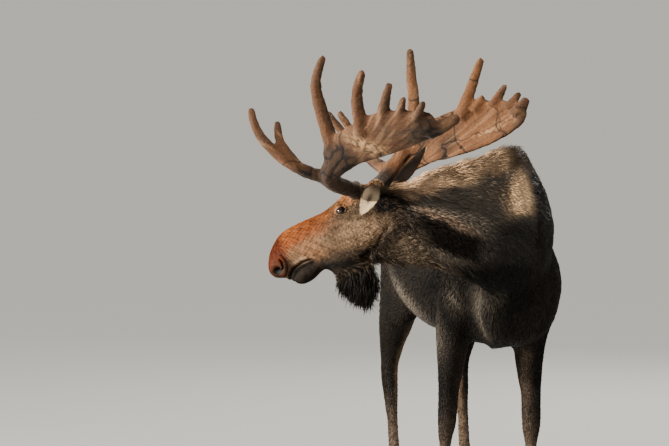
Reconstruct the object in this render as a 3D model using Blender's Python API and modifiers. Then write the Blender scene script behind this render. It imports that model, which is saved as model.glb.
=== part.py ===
"""Bull moose in velvet, a still life-size model, built as closed solids in metres, +Z up.

The animal faces -Y and its left side is +X.  Its flesh is a set of lofts (trunk, neck, head,
legs, tail, bell) fused by a voxel remesh, thinned to facets and parted into named nodes by
saw cuts half a millimetre wide.  Antlers are made the same way in the head's own frame.
Ears, eyes, hooves and dewclaws are separate bodies seated in the flesh.
"""
import math

import bmesh
import bpy
import numpy as np
from mathutils import Matrix, Vector
from mathutils.bvhtree import BVHTree

# ---------------------------------------------------------------- driving dimensions (m)
WITHERS = 1.91            # ground to the top of the shoulder hump, coat included
SAW = 0.0005              # width of the cuts between neighbouring nodes
EYE_SEAT = 0.001          # clearance between an eye and its socket
SEAT = 0.0012             # clearance round ears, antlers and dewclaws
FLESH_VOXEL = 0.013
FLESH_FACETS = 3420
ANTLER_VOXEL = 0.0085
ANTLER_FACETS = 860

FORE_X = (0.145, 0.240)   # left and right front feet, outward from the middle
FORE_Y = (0.12, 0.37)     # left foot forward, right foot set back
HIND_X = (0.215, 0.188)
HIND_Y = (1.30, 1.25)
SHOULDER = (0.150, 0.13)  # outward and backward place of the shoulder over the front foot
CORONET = 0.074           # height of the top of the hoof
LEG_TOP = 0.883           # saw cut between the legs and the trunk
CARPUS = 0.50
HOCK = 0.61

POLL = Vector((-0.74, -0.33, 1.745))
HEAD_TURN = 43.0          # degrees the face is turned past the animal's own right side
HEAD_PITCH = 30.0         # degrees the nose points below level

EYE_RADIUS = 0.022
EYE_AT = (0.255, 0.087, 0.010)
EAR_WIDTH = 0.105
BEAM_RADIUS = 0.042
BROW_BASE = 0.036
TINE_TIP = 0.020


# ---------------------------------------------------------------- frames and curves
def head_frame():
    """Unit vectors along the face, to the head's left and out of its crown."""
    turn = math.radians(HEAD_TURN)
    pitch = math.radians(HEAD_PITCH)
    level = Vector((-math.cos(turn), math.sin(turn), 0.0))
    z = Vector((0, 0, 1))
    face = level * math.cos(pitch) - z * math.sin(pitch)
    crown = level * math.sin(pitch) + z * math.cos(pitch)
    return face, crown.cross(face), crown


FACE, LEFT, CROWN = head_frame()


def head(u, v, w):
    """A place in the head's frame: u along the face from the poll, v left, w up."""
    return POLL + FACE * u + LEFT * v + CROWN * w


def spline(rows, count):
    """Rows smoothed by a Catmull-Rom curve through them, sampled count times."""
    p = np.array(rows, float)
    p = np.vstack([2 * p[0] - p[1], p, 2 * p[-1] - p[-2]])
    t = np.linspace(0, len(rows) - 1 - 1e-9, count)
    k = t.astype(int)
    f = (t - k)[:, None]
    a, b, c, d = p[k], p[k + 1], p[k + 2], p[k + 3]
    return 0.5 * (2 * b + (c - a) * f + (2 * a - 5 * b + 4 * c - d) * f ** 2
                  + (3 * b - a - 3 * c + d) * f ** 3)


def closed_tube(rings, name):
    """A closed mesh from equal rings of points, with a fan on each end."""
    rings = np.asarray(rings, float)
    n, m, _ = rings.shape
    verts = [Vector(p) for p in rings.reshape(-1, 3)]
    faces = []
    for i in range(n - 1):
        for j in range(m):
            k = (j + 1) % m
            faces.append((i * m + j, i * m + k, (i + 1) * m + k, (i + 1) * m + j))
    for i, flip in ((0, True), (n - 1, False)):
        verts.append(Vector(rings[i].mean(axis=0)))
        for j in range(m):
            a, b = i * m + j, i * m + (j + 1) % m
            faces.append((b, a, len(verts) - 1) if flip else (a, b, len(verts) - 1))
    return outward(verts, faces, name)


def outward(verts, faces, name):
    """Mesh object with its faces turned outward."""
    mesh = bpy.data.meshes.new(name)
    mesh.from_pydata(verts, [], faces)
    bm = bmesh.new()
    bm.from_mesh(mesh)
    bmesh.ops.recalc_face_normals(bm, faces=bm.faces)
    if bm.calc_volume(signed=True) < 0:
        bmesh.ops.reverse_faces(bm, faces=bm.faces)
    bm.to_mesh(mesh)
    bm.free()
    obj = bpy.data.objects.new(name, mesh)
    WORK.objects.link(obj)
    return obj


def loft(rows, count=28, around=28, flat=0.92):
    """Oval sections along a path.  Each row is centre x, y, z, half width, rise, drop and
    ridge; ridge narrows the section towards its top, as a hump or a crest does."""
    rows = spline(rows, count)
    path = rows[:, :3]
    along = np.gradient(path, axis=0)
    along /= np.linalg.norm(along, axis=1)[:, None]
    ang = np.linspace(0, 2 * math.pi, around, endpoint=False)
    rings = []
    for row, t in zip(rows, along):
        side = np.cross(t, (0, 0, 1.0))
        side /= np.linalg.norm(side)
        up = np.cross(side, t)
        wide, rise, drop, ridge = np.maximum(row[3:7], 0.004 * np.array([1, 1, 1, 0]))
        c, s = np.cos(ang), np.sin(ang)
        x = wide * np.sign(c) * np.abs(c) ** flat * (1 - ridge * np.maximum(s, 0))
        y = np.where(s > 0, rise, drop) * np.sign(s) * np.abs(s) ** flat
        rings.append(row[:3] + np.outer(x, side) + np.outer(y, up))
    return closed_tube(rings, "loft")


def head_loft(rows, count=28, around=28, flat=0.85):
    """Oval sections square to the face.  Each row is place along the face, height of the
    widest point, half width, rise, drop and ridge, in the head's frame."""
    rings = []
    ang = np.linspace(0, 2 * math.pi, around, endpoint=False)
    for u, mid, wide, rise, drop, ridge in spline(rows, count):
        ring = []
        for a in ang:
            c, s = math.cos(a), math.sin(a)
            v = max(wide, 0.003) * math.copysign(abs(c) ** flat, c) * (1 - ridge * max(s, 0))
            w = max(rise if s > 0 else drop, 0.003) * math.copysign(abs(s) ** flat, s)
            ring.append(head(u, v, mid + w))
        rings.append(ring)
    return closed_tube(rings, "face")


def limb(side, foot, rows, count=34, around=20):
    """Level sections down a leg.  Each row is height, outward and backward shift from the
    foot, half width, and half length fore and aft."""
    rings = []
    for z, out, back, wide, deep in spline(rows, count):
        ring = []
        for a in np.linspace(0, 2 * math.pi, around, endpoint=False):
            ring.append((side * (foot[0] + out) + wide * math.cos(a),
                         foot[1] + back + deep * math.sin(a), z))
        rings.append(ring)
    return closed_tube(rings, "limb")


def branch(points, radii, count=16, around=12):
    """A round tapered branch with a domed tip through points of the head's frame."""
    rows = spline([tuple(p) + (r,) for p, r in zip(points, radii)], count)
    path = rows[:, :3]
    along = np.gradient(path, axis=0)
    along /= np.linalg.norm(along, axis=1)[:, None]
    dome = [(path[-1] + along[-1] * rows[-1, 3] * k, along[-1],
             rows[-1, 3] * math.sqrt(1 - k * k)) for k in (0.45, 0.8, 0.97)]
    stations = [(p, t, r) for p, t, r in zip(path, along, rows[:, 3])] + dome
    rings = []
    for p, t, r in stations:
        side = np.cross(t, (0.3, 1.0, 0.1))
        side /= np.linalg.norm(side)
        up = np.cross(side, t)
        ring = []
        for a in np.linspace(0, 2 * math.pi, around, endpoint=False):
            ring.append(head(*(p + r * math.cos(a) * side + r * math.sin(a) * up)))
        rings.append(ring)
    return closed_tube(rings, "branch")


# ---------------------------------------------------------------- mesh tools
def fuse(objs, name, voxel, smooth, facets):
    """One closed skin round the overlapping bodies, smoothed and thinned to facets."""
    bm = bmesh.new()
    for obj in objs:
        bm.from_mesh(obj.data)
        bpy.data.objects.remove(obj)
    mesh = bpy.data.meshes.new(name)
    bm.to_mesh(mesh)
    bm.free()
    obj = bpy.data.objects.new(name, mesh)
    WORK.objects.link(obj)
    apply_modifier(obj, "REMESH", mode="VOXEL", voxel_size=voxel)
    apply_modifier(obj, "SMOOTH", factor=0.5, iterations=smooth)
    full = sum(len(p.vertices) - 2 for p in obj.data.polygons)
    apply_modifier(obj, "DECIMATE", ratio=facets / full)
    return obj


def apply_modifier(obj, kind, **settings):
    """Run one modifier on the object and keep its result as the object's mesh."""
    mod = obj.modifiers.new("step", kind)
    for key, value in settings.items():
        setattr(mod, key, value)
    graph = bpy.context.evaluated_depsgraph_get()
    mesh = bpy.data.meshes.new_from_object(obj.evaluated_get(graph))
    obj.modifiers.clear()
    obj.data = mesh
    bm = bmesh.new()
    bm.from_mesh(mesh)
    bmesh.ops.triangulate(bm, faces=bm.faces)
    bmesh.ops.remove_doubles(bm, verts=bm.verts, dist=1e-5)
    bmesh.ops.dissolve_degenerate(bm, dist=1e-5, edges=bm.edges)
    bmesh.ops.triangulate(bm, faces=bm.faces)
    bm.to_mesh(mesh)
    bm.free()


def subtract(obj, tool, drop_tool=True):
    """Cut the tool's volume out of the object."""
    apply_modifier(obj, "BOOLEAN", operation="DIFFERENCE", solver="EXACT", object=tool)
    if drop_tool:
        bpy.data.objects.remove(tool)


def swollen(obj, by):
    """A copy of the object with its skin moved out along its normals."""
    copy = bpy.data.objects.new("swollen", obj.data.copy())
    WORK.objects.link(copy)
    shift = [v.normal * by for v in copy.data.vertices]
    for v, d in zip(copy.data.vertices, shift):
        v.co += d
    return copy


def placed(bm, axes, centre, name):
    """An object from a primitive, stretched and turned onto three axes about a centre."""
    matrix = Matrix(axes).transposed().to_4x4()
    matrix.translation = Vector(centre)
    bmesh.ops.transform(bm, matrix=matrix, verts=bm.verts)
    bmesh.ops.recalc_face_normals(bm, faces=bm.faces)
    mesh = bpy.data.meshes.new(name)
    bm.to_mesh(mesh)
    bm.free()
    obj = bpy.data.objects.new(name, mesh)
    WORK.objects.link(obj)
    return obj


def saw(centre, normal, reach):
    """A square sheet as thick as the saw cut, centred on a place and square to a direction."""
    bm = bmesh.new()
    bmesh.ops.create_cube(bm, size=2.0)
    n = Vector(normal).normalized()
    a = n.orthogonal().normalized() * reach
    return placed(bm, (a, n.cross(a), n * SAW * 0.5), centre, "saw")


def ball(centre, radius):
    """A sphere in the head's frame, its poles to the head's left and right."""
    bm = bmesh.new()
    bmesh.ops.create_uvsphere(bm, u_segments=10, v_segments=6, radius=radius)
    return placed(bm, (CROWN, FACE, LEFT), head(*centre), "ball")


def islands(obj):
    """The object's separate shells as new objects."""
    bm = bmesh.new()
    bm.from_mesh(obj.data)
    bm.faces.ensure_lookup_table()
    seen = set()
    parts = []
    for start in bm.faces:
        if start.index in seen:
            continue
        shell = []
        stack = [start]
        seen.add(start.index)
        while stack:
            face = stack.pop()
            shell.append(face)
            for edge in face.edges:
                for other in edge.link_faces:
                    if other.index not in seen:
                        seen.add(other.index)
                        stack.append(other)
        ids = sorted({v.index for f in shell for v in f.verts})
        number = {k: i for i, k in enumerate(ids)}
        bm.verts.ensure_lookup_table()
        verts = [bm.verts[k].co.copy() for k in ids]
        shell.sort(key=lambda f: f.index)
        parts.append(outward(verts, [[number[v.index] for v in f.verts] for f in shell], "part"))
    bm.free()
    bpy.data.objects.remove(obj)
    return parts


def largest(obj):
    """Keep only the object's biggest shell."""
    shells = islands(obj)
    shells.sort(key=lambda s: -len(s.data.polygons))
    for extra in shells[1:]:
        bpy.data.objects.remove(extra)
    return shells[0]


def part_out(obj, cuts, seeds):
    """Saw the object at each cut and name every shell after the seed place nearest to it."""
    for cut in cuts:
        subtract(obj, saw(*cut))
    shells = islands(obj)
    named = {}
    for name, place in seeds.items():
        best = None
        for shell in shells:
            tree = BVHTree.FromPolygons([v.co for v in shell.data.vertices],
                                        [p.vertices[:] for p in shell.data.polygons])
            dist = tree.find_nearest(Vector(place))[3]
            if best is None or dist < best[0]:
                best = (dist, shell)
        named[name] = best[1]
    for shell in shells:
        if shell not in named.values():
            bpy.data.objects.remove(shell)
    return named


# ---------------------------------------------------------------- surfaces
def plain(name, color, rough):
    """A plain surface of one colour."""
    mat = bpy.data.materials.new(name)
    mat.use_nodes = True
    bsdf = mat.node_tree.nodes["Principled BSDF"]
    bsdf.inputs["Base Color"].default_value = (*color, 1)
    bsdf.inputs["Roughness"].default_value = rough
    mat.diffuse_color = (*color, 1)
    return mat


def keep(obj, name, mat):
    """Finish an object as a named node of the moose."""
    obj.name = name
    obj.data.name = name
    obj.data.materials.clear()
    obj.data.materials.append(mat)
    for users in list(obj.users_collection):
        users.objects.unlink(obj)
    MOOSE.objects.link(obj)
    return obj


for old in list(bpy.data.objects):
    bpy.data.objects.remove(old)
MOOSE = bpy.data.collections.new("moose")
WORK = bpy.data.collections.new("work")
bpy.context.scene.collection.children.link(MOOSE)
bpy.context.scene.collection.children.link(WORK)

DARK_COAT = plain("dark_coat", (0.045, 0.035, 0.03), 0.9)
FACE_COAT = plain("face_coat", (0.16, 0.09, 0.05), 0.9)
PALE_COAT = plain("pale_coat", (0.28, 0.19, 0.13), 0.9)
VELVET = plain("velvet", (0.22, 0.13, 0.08), 0.85)
EYE = plain("eye", (0.02, 0.012, 0.01), 0.15)
HORN = plain("horn", (0.05, 0.04, 0.035), 0.5)

# ---------------------------------------------------------------- trunk
# Deep narrow chest under a high hump, back falling to the croup, short tail.
trunk = loft([
    # x,    y,     z,    wide,  rise, drop, ridge
    (-0.08, -0.33, 1.29, 0.05, 0.08, 0.09, 0.0),
    (-0.07, -0.28, 1.28, 0.125, 0.21, 0.18, 0.1),
    (-0.045, -0.17, 1.26, 0.195, 0.42, 0.27, 0.3),
    (-0.015, -0.05, 1.235, 0.245, 0.60, 0.31, 0.46),
    (0, 0.09, 1.22, 0.270, WITHERS - 1.205, 0.312, 0.48),
    (0, 0.25, 1.22, 0.292, WITHERS - 1.240, 0.318, 0.48),
    (0, 0.45, 1.235, 0.308, 0.570, 0.332, 0.38),
    (0, 0.70, 1.26, 0.318, 0.485, 0.345, 0.32),
    (0, 0.95, 1.29, 0.305, 0.435, 0.345, 0.30),
    (0, 1.15, 1.32, 0.272, 0.405, 0.315, 0.32),
    (0, 1.35, 1.34, 0.222, 0.350, 0.260, 0.30),
    (0, 1.47, 1.35, 0.165, 0.275, 0.200, 0.25),
    (0, 1.545, 1.36, 0.080, 0.140, 0.110, 0.1)], count=40, around=36)

# Keel of the brisket, drawn over to the right by the bend of the neck.
brisket = loft([
    (-0.16, -0.285, 1.42, 0.07, 0.06, 0.06, 0.0),
    (-0.165, -0.270, 1.27, 0.085, 0.07, 0.085, 0.0),
    (-0.145, -0.190, 1.10, 0.080, 0.08, 0.095, 0.0),
    (-0.10, -0.06, 0.99, 0.070, 0.06, 0.080, 0.0),
    (-0.05, 0.12, 0.96, 0.05, 0.04, 0.05, 0.0)], count=14, around=16)

tail = loft([
    (0, 1.44, 1.54, 0.05, 0.04, 0.05, 0),
    (0, 1.520, 1.52, 0.038, 0.032, 0.04, 0),
    (0, 1.572, 1.465, 0.034, 0.026, 0.032, 0),
    (0, 1.588, 1.40, 0.027, 0.020, 0.022, 0),
    (0, 1.586, 1.350, 0.012, 0.010, 0.012, 0)], count=12, around=12)

# ---------------------------------------------------------------- neck
# Bent hard to the animal's own right; the mane makes its crest as high as the hump.
NECK = [
    (0.00, 0.08, 1.50, 0.18, 0.42, 0.34, 0.50),
    (-0.03, -0.13, 1.53, 0.195, 0.400, 0.38, 0.44),
    (-0.14, -0.30, 1.565, 0.195, 0.372, 0.37, 0.37),
    (-0.30, -0.405, 1.585, 0.175, 0.315, 0.32, 0.35),
    (-0.47, -0.435, 1.60, 0.155, 0.255, 0.27, 0.32),
    (-0.62, -0.405, 1.60, 0.138, 0.205, 0.245, 0.30),
    (-0.76, -0.33, 1.60, 0.120, 0.135, 0.215, 0.25)]
neck = loft(NECK, count=30, around=32)

# ---------------------------------------------------------------- head
skull = head_loft([
    # u,    mid,   wide,  rise,  drop, ridge
    (-0.10, -0.10, 0.090, 0.06, 0.12, 0.2),
    (-0.03, -0.08, 0.112, 0.072, 0.15, 0.25),
    (0.05, -0.08, 0.124, 0.108, 0.17, 0.25),
    (0.13, -0.08, 0.126, 0.152, 0.17, 0.20),
    (0.20, -0.08, 0.122, 0.170, 0.165, 0.15),
    (0.27, -0.08, 0.112, 0.163, 0.155, 0.12),
    (0.33, -0.075, 0.094, 0.145, 0.13, 0.15),
    (0.40, -0.065, 0.079, 0.134, 0.10, 0.20),
    (0.46, -0.06, 0.071, 0.138, 0.08, 0.20),
    (0.52, -0.052, 0.070, 0.136, 0.070, 0.15),
    (0.58, -0.047, 0.076, 0.135, 0.072, 0.12),
    (0.63, -0.045, 0.081, 0.130, 0.076, 0.10),
    (0.68, -0.05, 0.086, 0.112, 0.073, 0.05),
    (0.72, -0.055, 0.083, 0.085, 0.063, 0.0),
    (0.752, -0.06, 0.071, 0.052, 0.048, 0.0),
    (0.773, -0.062, 0.045, 0.024, 0.026, 0.0)], count=44, around=32)

jaw = head_loft([
    (0.06, -0.15, 0.070, 0.05, 0.09, 0),
    (0.15, -0.165, 0.090, 0.06, 0.118, 0),
    (0.24, -0.165, 0.086, 0.06, 0.108, 0),
    (0.33, -0.160, 0.068, 0.05, 0.078, 0),
    (0.42, -0.152, 0.052, 0.04, 0.060, 0),
    (0.50, -0.148, 0.046, 0.03, 0.034, 0),
    (0.55, -0.150, 0.050, 0.03, 0.036, 0),
    (0.60, -0.155, 0.055, 0.03, 0.043, 0),
    (0.645, -0.155, 0.052, 0.025, 0.040, 0),
    (0.685, -0.150, 0.038, 0.016, 0.025, 0),
    (0.702, -0.148, 0.015, 0.008, 0.010, 0)], count=30, around=20)

# Brow ridges over the eyes and the pedicles that carry the antlers.
brows = []
for side in (1, -1):
    brows.append(branch([(0.19, side * 0.070, 0.050), (0.25, side * 0.080, 0.030),
                         (0.31, side * 0.066, 0.010)], (0.024, 0.028, 0.018)))
    brows.append(branch([(0.125, side * 0.03, 0.0), (0.127, side * 0.105, 0.045)],
                        (0.062, 0.046), count=6))

# Skin flap and hair of the bell, hung under the throat.
bell_rows = [
    (0.38, -0.17, 0.105, 0.050), (0.385, -0.23, 0.112, 0.047), (0.380, -0.28, 0.108, 0.043),
    (0.362, -0.33, 0.092, 0.038), (0.355, -0.37, 0.068, 0.032), (0.366, -0.405, 0.040, 0.024),
    (0.378, -0.430, 0.014, 0.011)]
rings = []
for u, w, deep, wide in spline(bell_rows, 18):
    rings.append([head(u + deep * math.cos(a), wide * math.sin(a), w)
                  for a in np.linspace(0, 2 * math.pi, 18, endpoint=False)])
bell = closed_tube(rings, "bell")

# ---------------------------------------------------------------- legs
FORE = [
    # z,   out,   back,  wide,  deep
    (1.52, -0.02, 0.05, 0.055, 0.10),
    (1.38, 0.020, 0.00, 0.090, 0.16),
    (1.20, 0.040, -0.01, 0.105, 0.18),
    (1.04, 0.020, 0.02, 0.094, 0.15),
    (0.92, 0.000, 0.02, 0.080, 0.115),
    (0.80, -0.005, 0.01, 0.067, 0.086),
    (0.68, 0.0, 0.0, 0.053, 0.066),
    (0.58, 0.0, -0.006, 0.051, 0.062),
    (0.50, 0.0, -0.006, 0.049, 0.058),
    (0.42, 0.0, 0.0, 0.035, 0.043),
    (0.29, 0.0, 0.0, 0.031, 0.039),
    (0.20, 0.0, 0.0, 0.037, 0.046),
    (0.15, 0.0, -0.008, 0.043, 0.053),
    (0.10, 0.0, -0.028, 0.042, 0.051),
    (0.055, 0.0, -0.040, 0.047, 0.057)]
HIND = [
    (1.55, -0.090, -0.10, 0.080, 0.14),
    (1.40, -0.060, -0.02, 0.110, 0.23),
    (1.24, -0.045, -0.02, 0.105, 0.25),
    (1.08, -0.025, -0.03, 0.096, 0.215),
    (0.95, -0.010, 0.0, 0.087, 0.160),
    (0.83, 0.0, 0.045, 0.063, 0.104),
    (0.73, 0.0, 0.080, 0.046, 0.074),
    (0.66, 0.0, 0.092, 0.045, 0.066),
    (0.58, 0.0, 0.075, 0.042, 0.058),
    (0.48, 0.0, 0.050, 0.034, 0.044),
    (0.32, 0.0, 0.020, 0.032, 0.041),
    (0.20, 0.0, 0.0, 0.038, 0.047),
    (0.15, 0.0, -0.010, 0.043, 0.053),
    (0.10, 0.0, -0.032, 0.042, 0.051),
    (0.055, 0.0, -0.045, 0.047, 0.057)]

FEET = {}
legs = []
for i, (side, word) in enumerate(((1, "left"), (-1, "right"))):
    FEET["fore_" + word] = (side, FORE_X[i], FORE_Y[i], 0.040)
    FEET["hind_" + word] = (side, HIND_X[i], HIND_Y[i], 0.045)
    rows = []
    for z, out, back, wide, deep in FORE:
        lift = min(max((z - 0.88) / 0.42, 0.0), 1.0)
        lean = min(max((z - 0.15) / 1.15, 0.0), 1.0)
        rows.append((z, out + (SHOULDER[0] - FORE_X[i]) * lift,
                     back + (SHOULDER[1] - FORE_Y[i]) * lean, wide, deep))
    legs.append(limb(side, FEET["fore_" + word][1:3], rows))
    legs.append(limb(side, FEET["hind_" + word][1:3], HIND))

flesh = fuse([trunk, brisket, tail, neck, skull, jaw, bell] + brows + legs,
             "flesh", FLESH_VOXEL, 4, FLESH_FACETS)

# ---------------------------------------------------------------- antlers
# In the head's frame, for the left side; right values carry their own tines.
BEAM = [(0.127, 0.075, 0.035), (0.127, 0.16, 0.062), (0.128, 0.26, 0.088), (0.110, 0.37, 0.130),
        (0.050, 0.410, 0.170)]
PALM_LOW = [(0.120, 0.36, 0.085), (0.050, 0.385, 0.100), (-0.080, 0.40, 0.100),
            (-0.215, 0.415, 0.070), (-0.360, 0.435, 0.040), (-0.500, 0.455, 0.025),
            (-0.600, 0.470, 0.030)]
PALM_HIGH = [(0.075, 0.41, 0.205), (0.010, 0.455, 0.275), (-0.090, 0.495, 0.275),
             (-0.215, 0.540, 0.262), (-0.350, 0.572, 0.245), (-0.485, 0.585, 0.180),
             (-0.585, 0.545, 0.120)]
TINES = {
    "left": [
        [(-0.02, 0.455, 0.24), (-0.080, 0.515, 0.41), (-0.132, 0.550, 0.52), (-0.228, 0.568, 0.600)],
        [(-0.21, 0.520, 0.20), (-0.315, 0.605, 0.355), (-0.415, 0.665, 0.422)],
        [(-0.34, 0.545, 0.19), (-0.430, 0.605, 0.262), (-0.503, 0.652, 0.305)],
        [(-0.43, 0.560, 0.16), (-0.525, 0.625, 0.222)],
        [(-0.49, 0.550, 0.11), (-0.600, 0.612, 0.158)],
        [(-0.50, 0.475, 0.050), (-0.600, 0.480, 0.038), (-0.655, 0.482, 0.036)]],
    "right": [
        [(-0.03, 0.455, 0.23), (-0.090, 0.505, 0.37), (-0.130, 0.540, 0.50), (-0.178, 0.565, 0.620)],
        [(-0.26, 0.525, 0.19), (-0.362, 0.575, 0.30), (-0.458, 0.635, 0.410)],
        [(-0.34, 0.545, 0.19), (-0.400, 0.572, 0.238)],
        [(-0.43, 0.560, 0.17), (-0.520, 0.612, 0.236)],
        [(-0.50, 0.550, 0.12), (-0.577, 0.580, 0.160)],
        [(-0.54, 0.490, 0.060), (-0.615, 0.510, 0.100)]]}
BROW = {
    "left": ([(0.115, 0.34, 0.120), (0.180, 0.420, 0.205), (0.235, 0.470, 0.310),
              (0.272, 0.490, 0.430), (0.276, 0.490, 0.515), (0.264, 0.473, 0.585)],
             [(0.200, 0.440, 0.250), (0.219, 0.440, 0.390), (0.202, 0.412, 0.475)]),
    "right": ([(0.115, 0.34, 0.120), (0.195, 0.420, 0.205), (0.260, 0.470, 0.310),
               (0.305, 0.485, 0.430), (0.325, 0.472, 0.550)],
              [(0.205, 0.440, 0.250), (0.240, 0.445, 0.390), (0.250, 0.430, 0.512)])}
TINE_BASE = (0.040, 0.038, 0.034, 0.029, 0.028, 0.042)
TINE_END = (0.021, 0.021, 0.019, 0.017, 0.017, 0.027)
PALM_SAG = {"left": 0.0, "right": 0.045}      # how much lower the blade's bottom edge hangs


def palm(side, sag):
    """The antler's blade: a dished plate between its low and high edge, rounded all round."""
    low = spline(PALM_LOW, 26)
    low[:, 2] -= sag * np.sin(np.linspace(0, math.pi, 26)) ** 0.7
    high = spline(PALM_HIGH, 26)
    rings = []
    for i in range(26):
        end = min(i, 25 - i) / 2.0
        taper = math.sqrt(1 - max(0.0, 1 - end / 1.0) ** 2) if end < 1.0 else 1.0
        across = high[i] - low[i]
        out = np.cross((1.0, 0, 0), across)
        out /= np.linalg.norm(out)
        out *= -1.0 if out[1] < 0 else 1.0
        ring = []
        for a in np.linspace(0, 2 * math.pi, 24, endpoint=False):
            t = math.cos(a)
            mid = low[i] + across * (0.5 + 0.5 * t)
            belly = 0.026 * (1 - t * t)
            half = (0.0165 + 0.006 * t * t) * math.copysign(abs(math.sin(a)) ** 0.6, math.sin(a))
            p = mid + out * (belly + half * max(taper, 0.25))
            ring.append(head(p[0], side * p[1], p[2]))
        rings.append(ring)
    return closed_tube(rings, "palm")


def mirrored(points, side):
    """Points written for the left side, moved to the side asked for."""
    return [(u, side * v, w) for u, v, w in points]


ANTLERS = {}
for side, word in ((1, "left"), (-1, "right")):
    pieces = [palm(side, PALM_SAG[word])]
    pieces.append(branch(mirrored(BEAM, side), (0.047, 0.040, BEAM_RADIUS, 0.045, 0.040),
                         count=20, around=16))
    main, second = BROW[word]
    taper = np.linspace(BROW_BASE, TINE_TIP, len(main))
    pieces.append(branch(mirrored(main, side), taper, count=24))
    pieces.append(branch(mirrored(second, side), np.linspace(0.028, TINE_TIP, 3), count=12))
    for base, end, tine in zip(TINE_BASE, TINE_END, TINES[word]):
        pieces.append(branch(mirrored(tine, side), np.linspace(base, end, len(tine)), count=16))
    ANTLERS[word] = fuse(pieces, "antler_" + word, ANTLER_VOXEL, 3, ANTLER_FACETS)

# ---------------------------------------------------------------- ears
# A cupped leaf of skin and gristle: where it leaves the skull, where it ends, and the way its
# open side looks, all in the head's frame.  The right ear is laid back behind its antler.
EARS = {"left": ((0.050, 0.085, 0.025), (0.092, 0.305, -0.092), (-0.83, 0.46, 0.31)),
        "right": ((0.030, -0.085, 0.005), (-0.150, -0.235, 0.115), (-0.02, -0.75, -0.65))}


def ear(root, tip, opening):
    """Sections from root to tip, each bent to a trough that opens the way asked for."""
    root, tip = np.array(root), np.array(tip)
    axis = (tip - root) / np.linalg.norm(tip - root)
    open_to = np.array(opening) - axis * np.dot(opening, axis)
    open_to /= np.linalg.norm(open_to)
    across = np.cross(axis, open_to)
    length = np.linalg.norm(tip - root)
    rings = []
    for s in np.linspace(0.0, 1.0, 10):
        half = EAR_WIDTH / 2 * (0.42 + 0.58 * math.sin(math.pi * min(s * 1.25, 1) / 2))
        half *= math.sqrt(max(1 - max(0, (s - 0.45) / 0.55) ** 2.2, 0.02))
        cup = 0.62 * half * (1 - 0.5 * s)
        wall = 0.007 + 0.006 * (1 - s)
        ring = []
        for a in np.linspace(0, 2 * math.pi, 10, endpoint=False):
            t = math.cos(a)
            deep = cup * t * t + (wall if math.sin(a) > 0 else -wall) * abs(math.sin(a)) ** 0.5
            p = root + axis * length * s + across * half * t + open_to * (deep - cup * 0.5)
            ring.append(head(*p))
        rings.append(ring)
    return closed_tube(rings, "ear")


ears = {word: ear(*shape) for word, shape in EARS.items()}


# ---------------------------------------------------------------- eyes
eyes = {}
for side, word in ((1, "left"), (-1, "right")):
    place = (EYE_AT[0], side * EYE_AT[1], EYE_AT[2])
    subtract(flesh, ball(place, EYE_RADIUS + EYE_SEAT))
    eyes[word] = ball(place, EYE_RADIUS)

# ---------------------------------------------------------------- seat ears and antlers
fat = swollen(flesh, SEAT)
for word in ("left", "right"):
    subtract(ears[word], fat, drop_tool=False)
    subtract(ANTLERS[word], fat, drop_tool=False)
    clear = swollen(ANTLERS[word], SEAT)
    subtract(ears[word], clear)
bpy.data.objects.remove(fat)


for word in ("left", "right"):
    keep(largest(ears[word]), "ear_" + word, FACE_COAT)
    keep(eyes[word], "eye_" + word, EYE)

# ---------------------------------------------------------------- part the antlers
for side, word in ((1, "left"), (-1, "right")):
    antler = largest(ANTLERS[word])
    tines = TINES[word]
    cuts = [(head(0.105, side * 0.345, 0.115), FACE * -0.35 + LEFT * side * 0.80 + CROWN * 0.45,
             0.075)]
    seeds = {"antler_beam_" + word: head(0.127, side * 0.20, 0.073),
             "antler_palm_" + word: head(-0.20, side * 0.48, 0.16)}
    main = BROW[word][0]
    cuts.append((head(main[1][0], side * main[1][1], main[1][2]),
                 FACE * 0.45 + LEFT * side * 0.35 + CROWN * 0.8, 0.06))
    seeds["antler_brow_" + word] = head(main[3][0], side * main[3][1], main[3][2])
    for number, k in (("1", 0), ("2", 1)):
        base, mid = np.array(tines[k][0]), np.array(tines[k][1])
        place = base + (mid - base) * (0.92 if k else 0.60)
        along = mid - base
        cuts.append((head(place[0], side * place[1], place[2]),
                     FACE * along[0] + LEFT * side * along[1] + CROWN * along[2], 0.062))
        end = tines[k][-1]
        seeds["antler_tine_" + number + "_" + word] = head(end[0], side * end[1], end[2])
    for name, obj in part_out(antler, cuts, seeds).items():
        keep(obj, name, VELVET)

# ---------------------------------------------------------------- part the flesh
cuts = [((-0.02, -0.20, 1.47), (-0.45, -0.88, 0.20), 0.62),
        (head(-0.015, 0, -0.10), FACE * 0.97 + CROWN * 0.20, 0.38),
        (head(0.395, 0, -0.240), CROWN - FACE * 0.28, 0.16),
        (head(0.47, 0, -0.05), FACE * 0.99 + CROWN * -0.08, 0.17),
        ((0, 1.560, 1.44), (0, 1, 0), 0.12)]
seeds = {"trunk": (0, 0.6, 1.3), "neck": (-0.40, -0.43, 1.60), "head": head(0.25, 0, -0.05),
         "muzzle": head(0.62, 0, -0.04), "bell": head(0.37, 0, -0.34), "tail": (0, 1.585, 1.42)}
kinds = {"tail": DARK_COAT, "head": FACE_COAT, "muzzle": FACE_COAT}
for name, (side, x, y, toe) in FEET.items():
    joint = CARPUS if name.startswith("fore") else HOCK
    leg = name.replace("fore", "foreleg").replace("hind", "hindleg")
    back = 0.0 if name.startswith("fore") else 0.06
    cuts.append(((side * x, y + back, LEG_TOP), (0, 0, 1), 0.20))
    cuts.append(((side * x, y + back, joint), (0, 0, 1), 0.13))
    cuts.append(((side * x, y - toe, CORONET + SAW), (0, 0, 1), 0.12))
    seeds[leg + "_upper"] = (side * x, y + back, LEG_TOP - 0.15)
    seeds[leg + "_lower"] = (side * x, y + back * 0.5, 0.36)
    kinds[leg + "_lower"] = PALE_COAT if name.startswith("hind") else DARK_COAT
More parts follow.
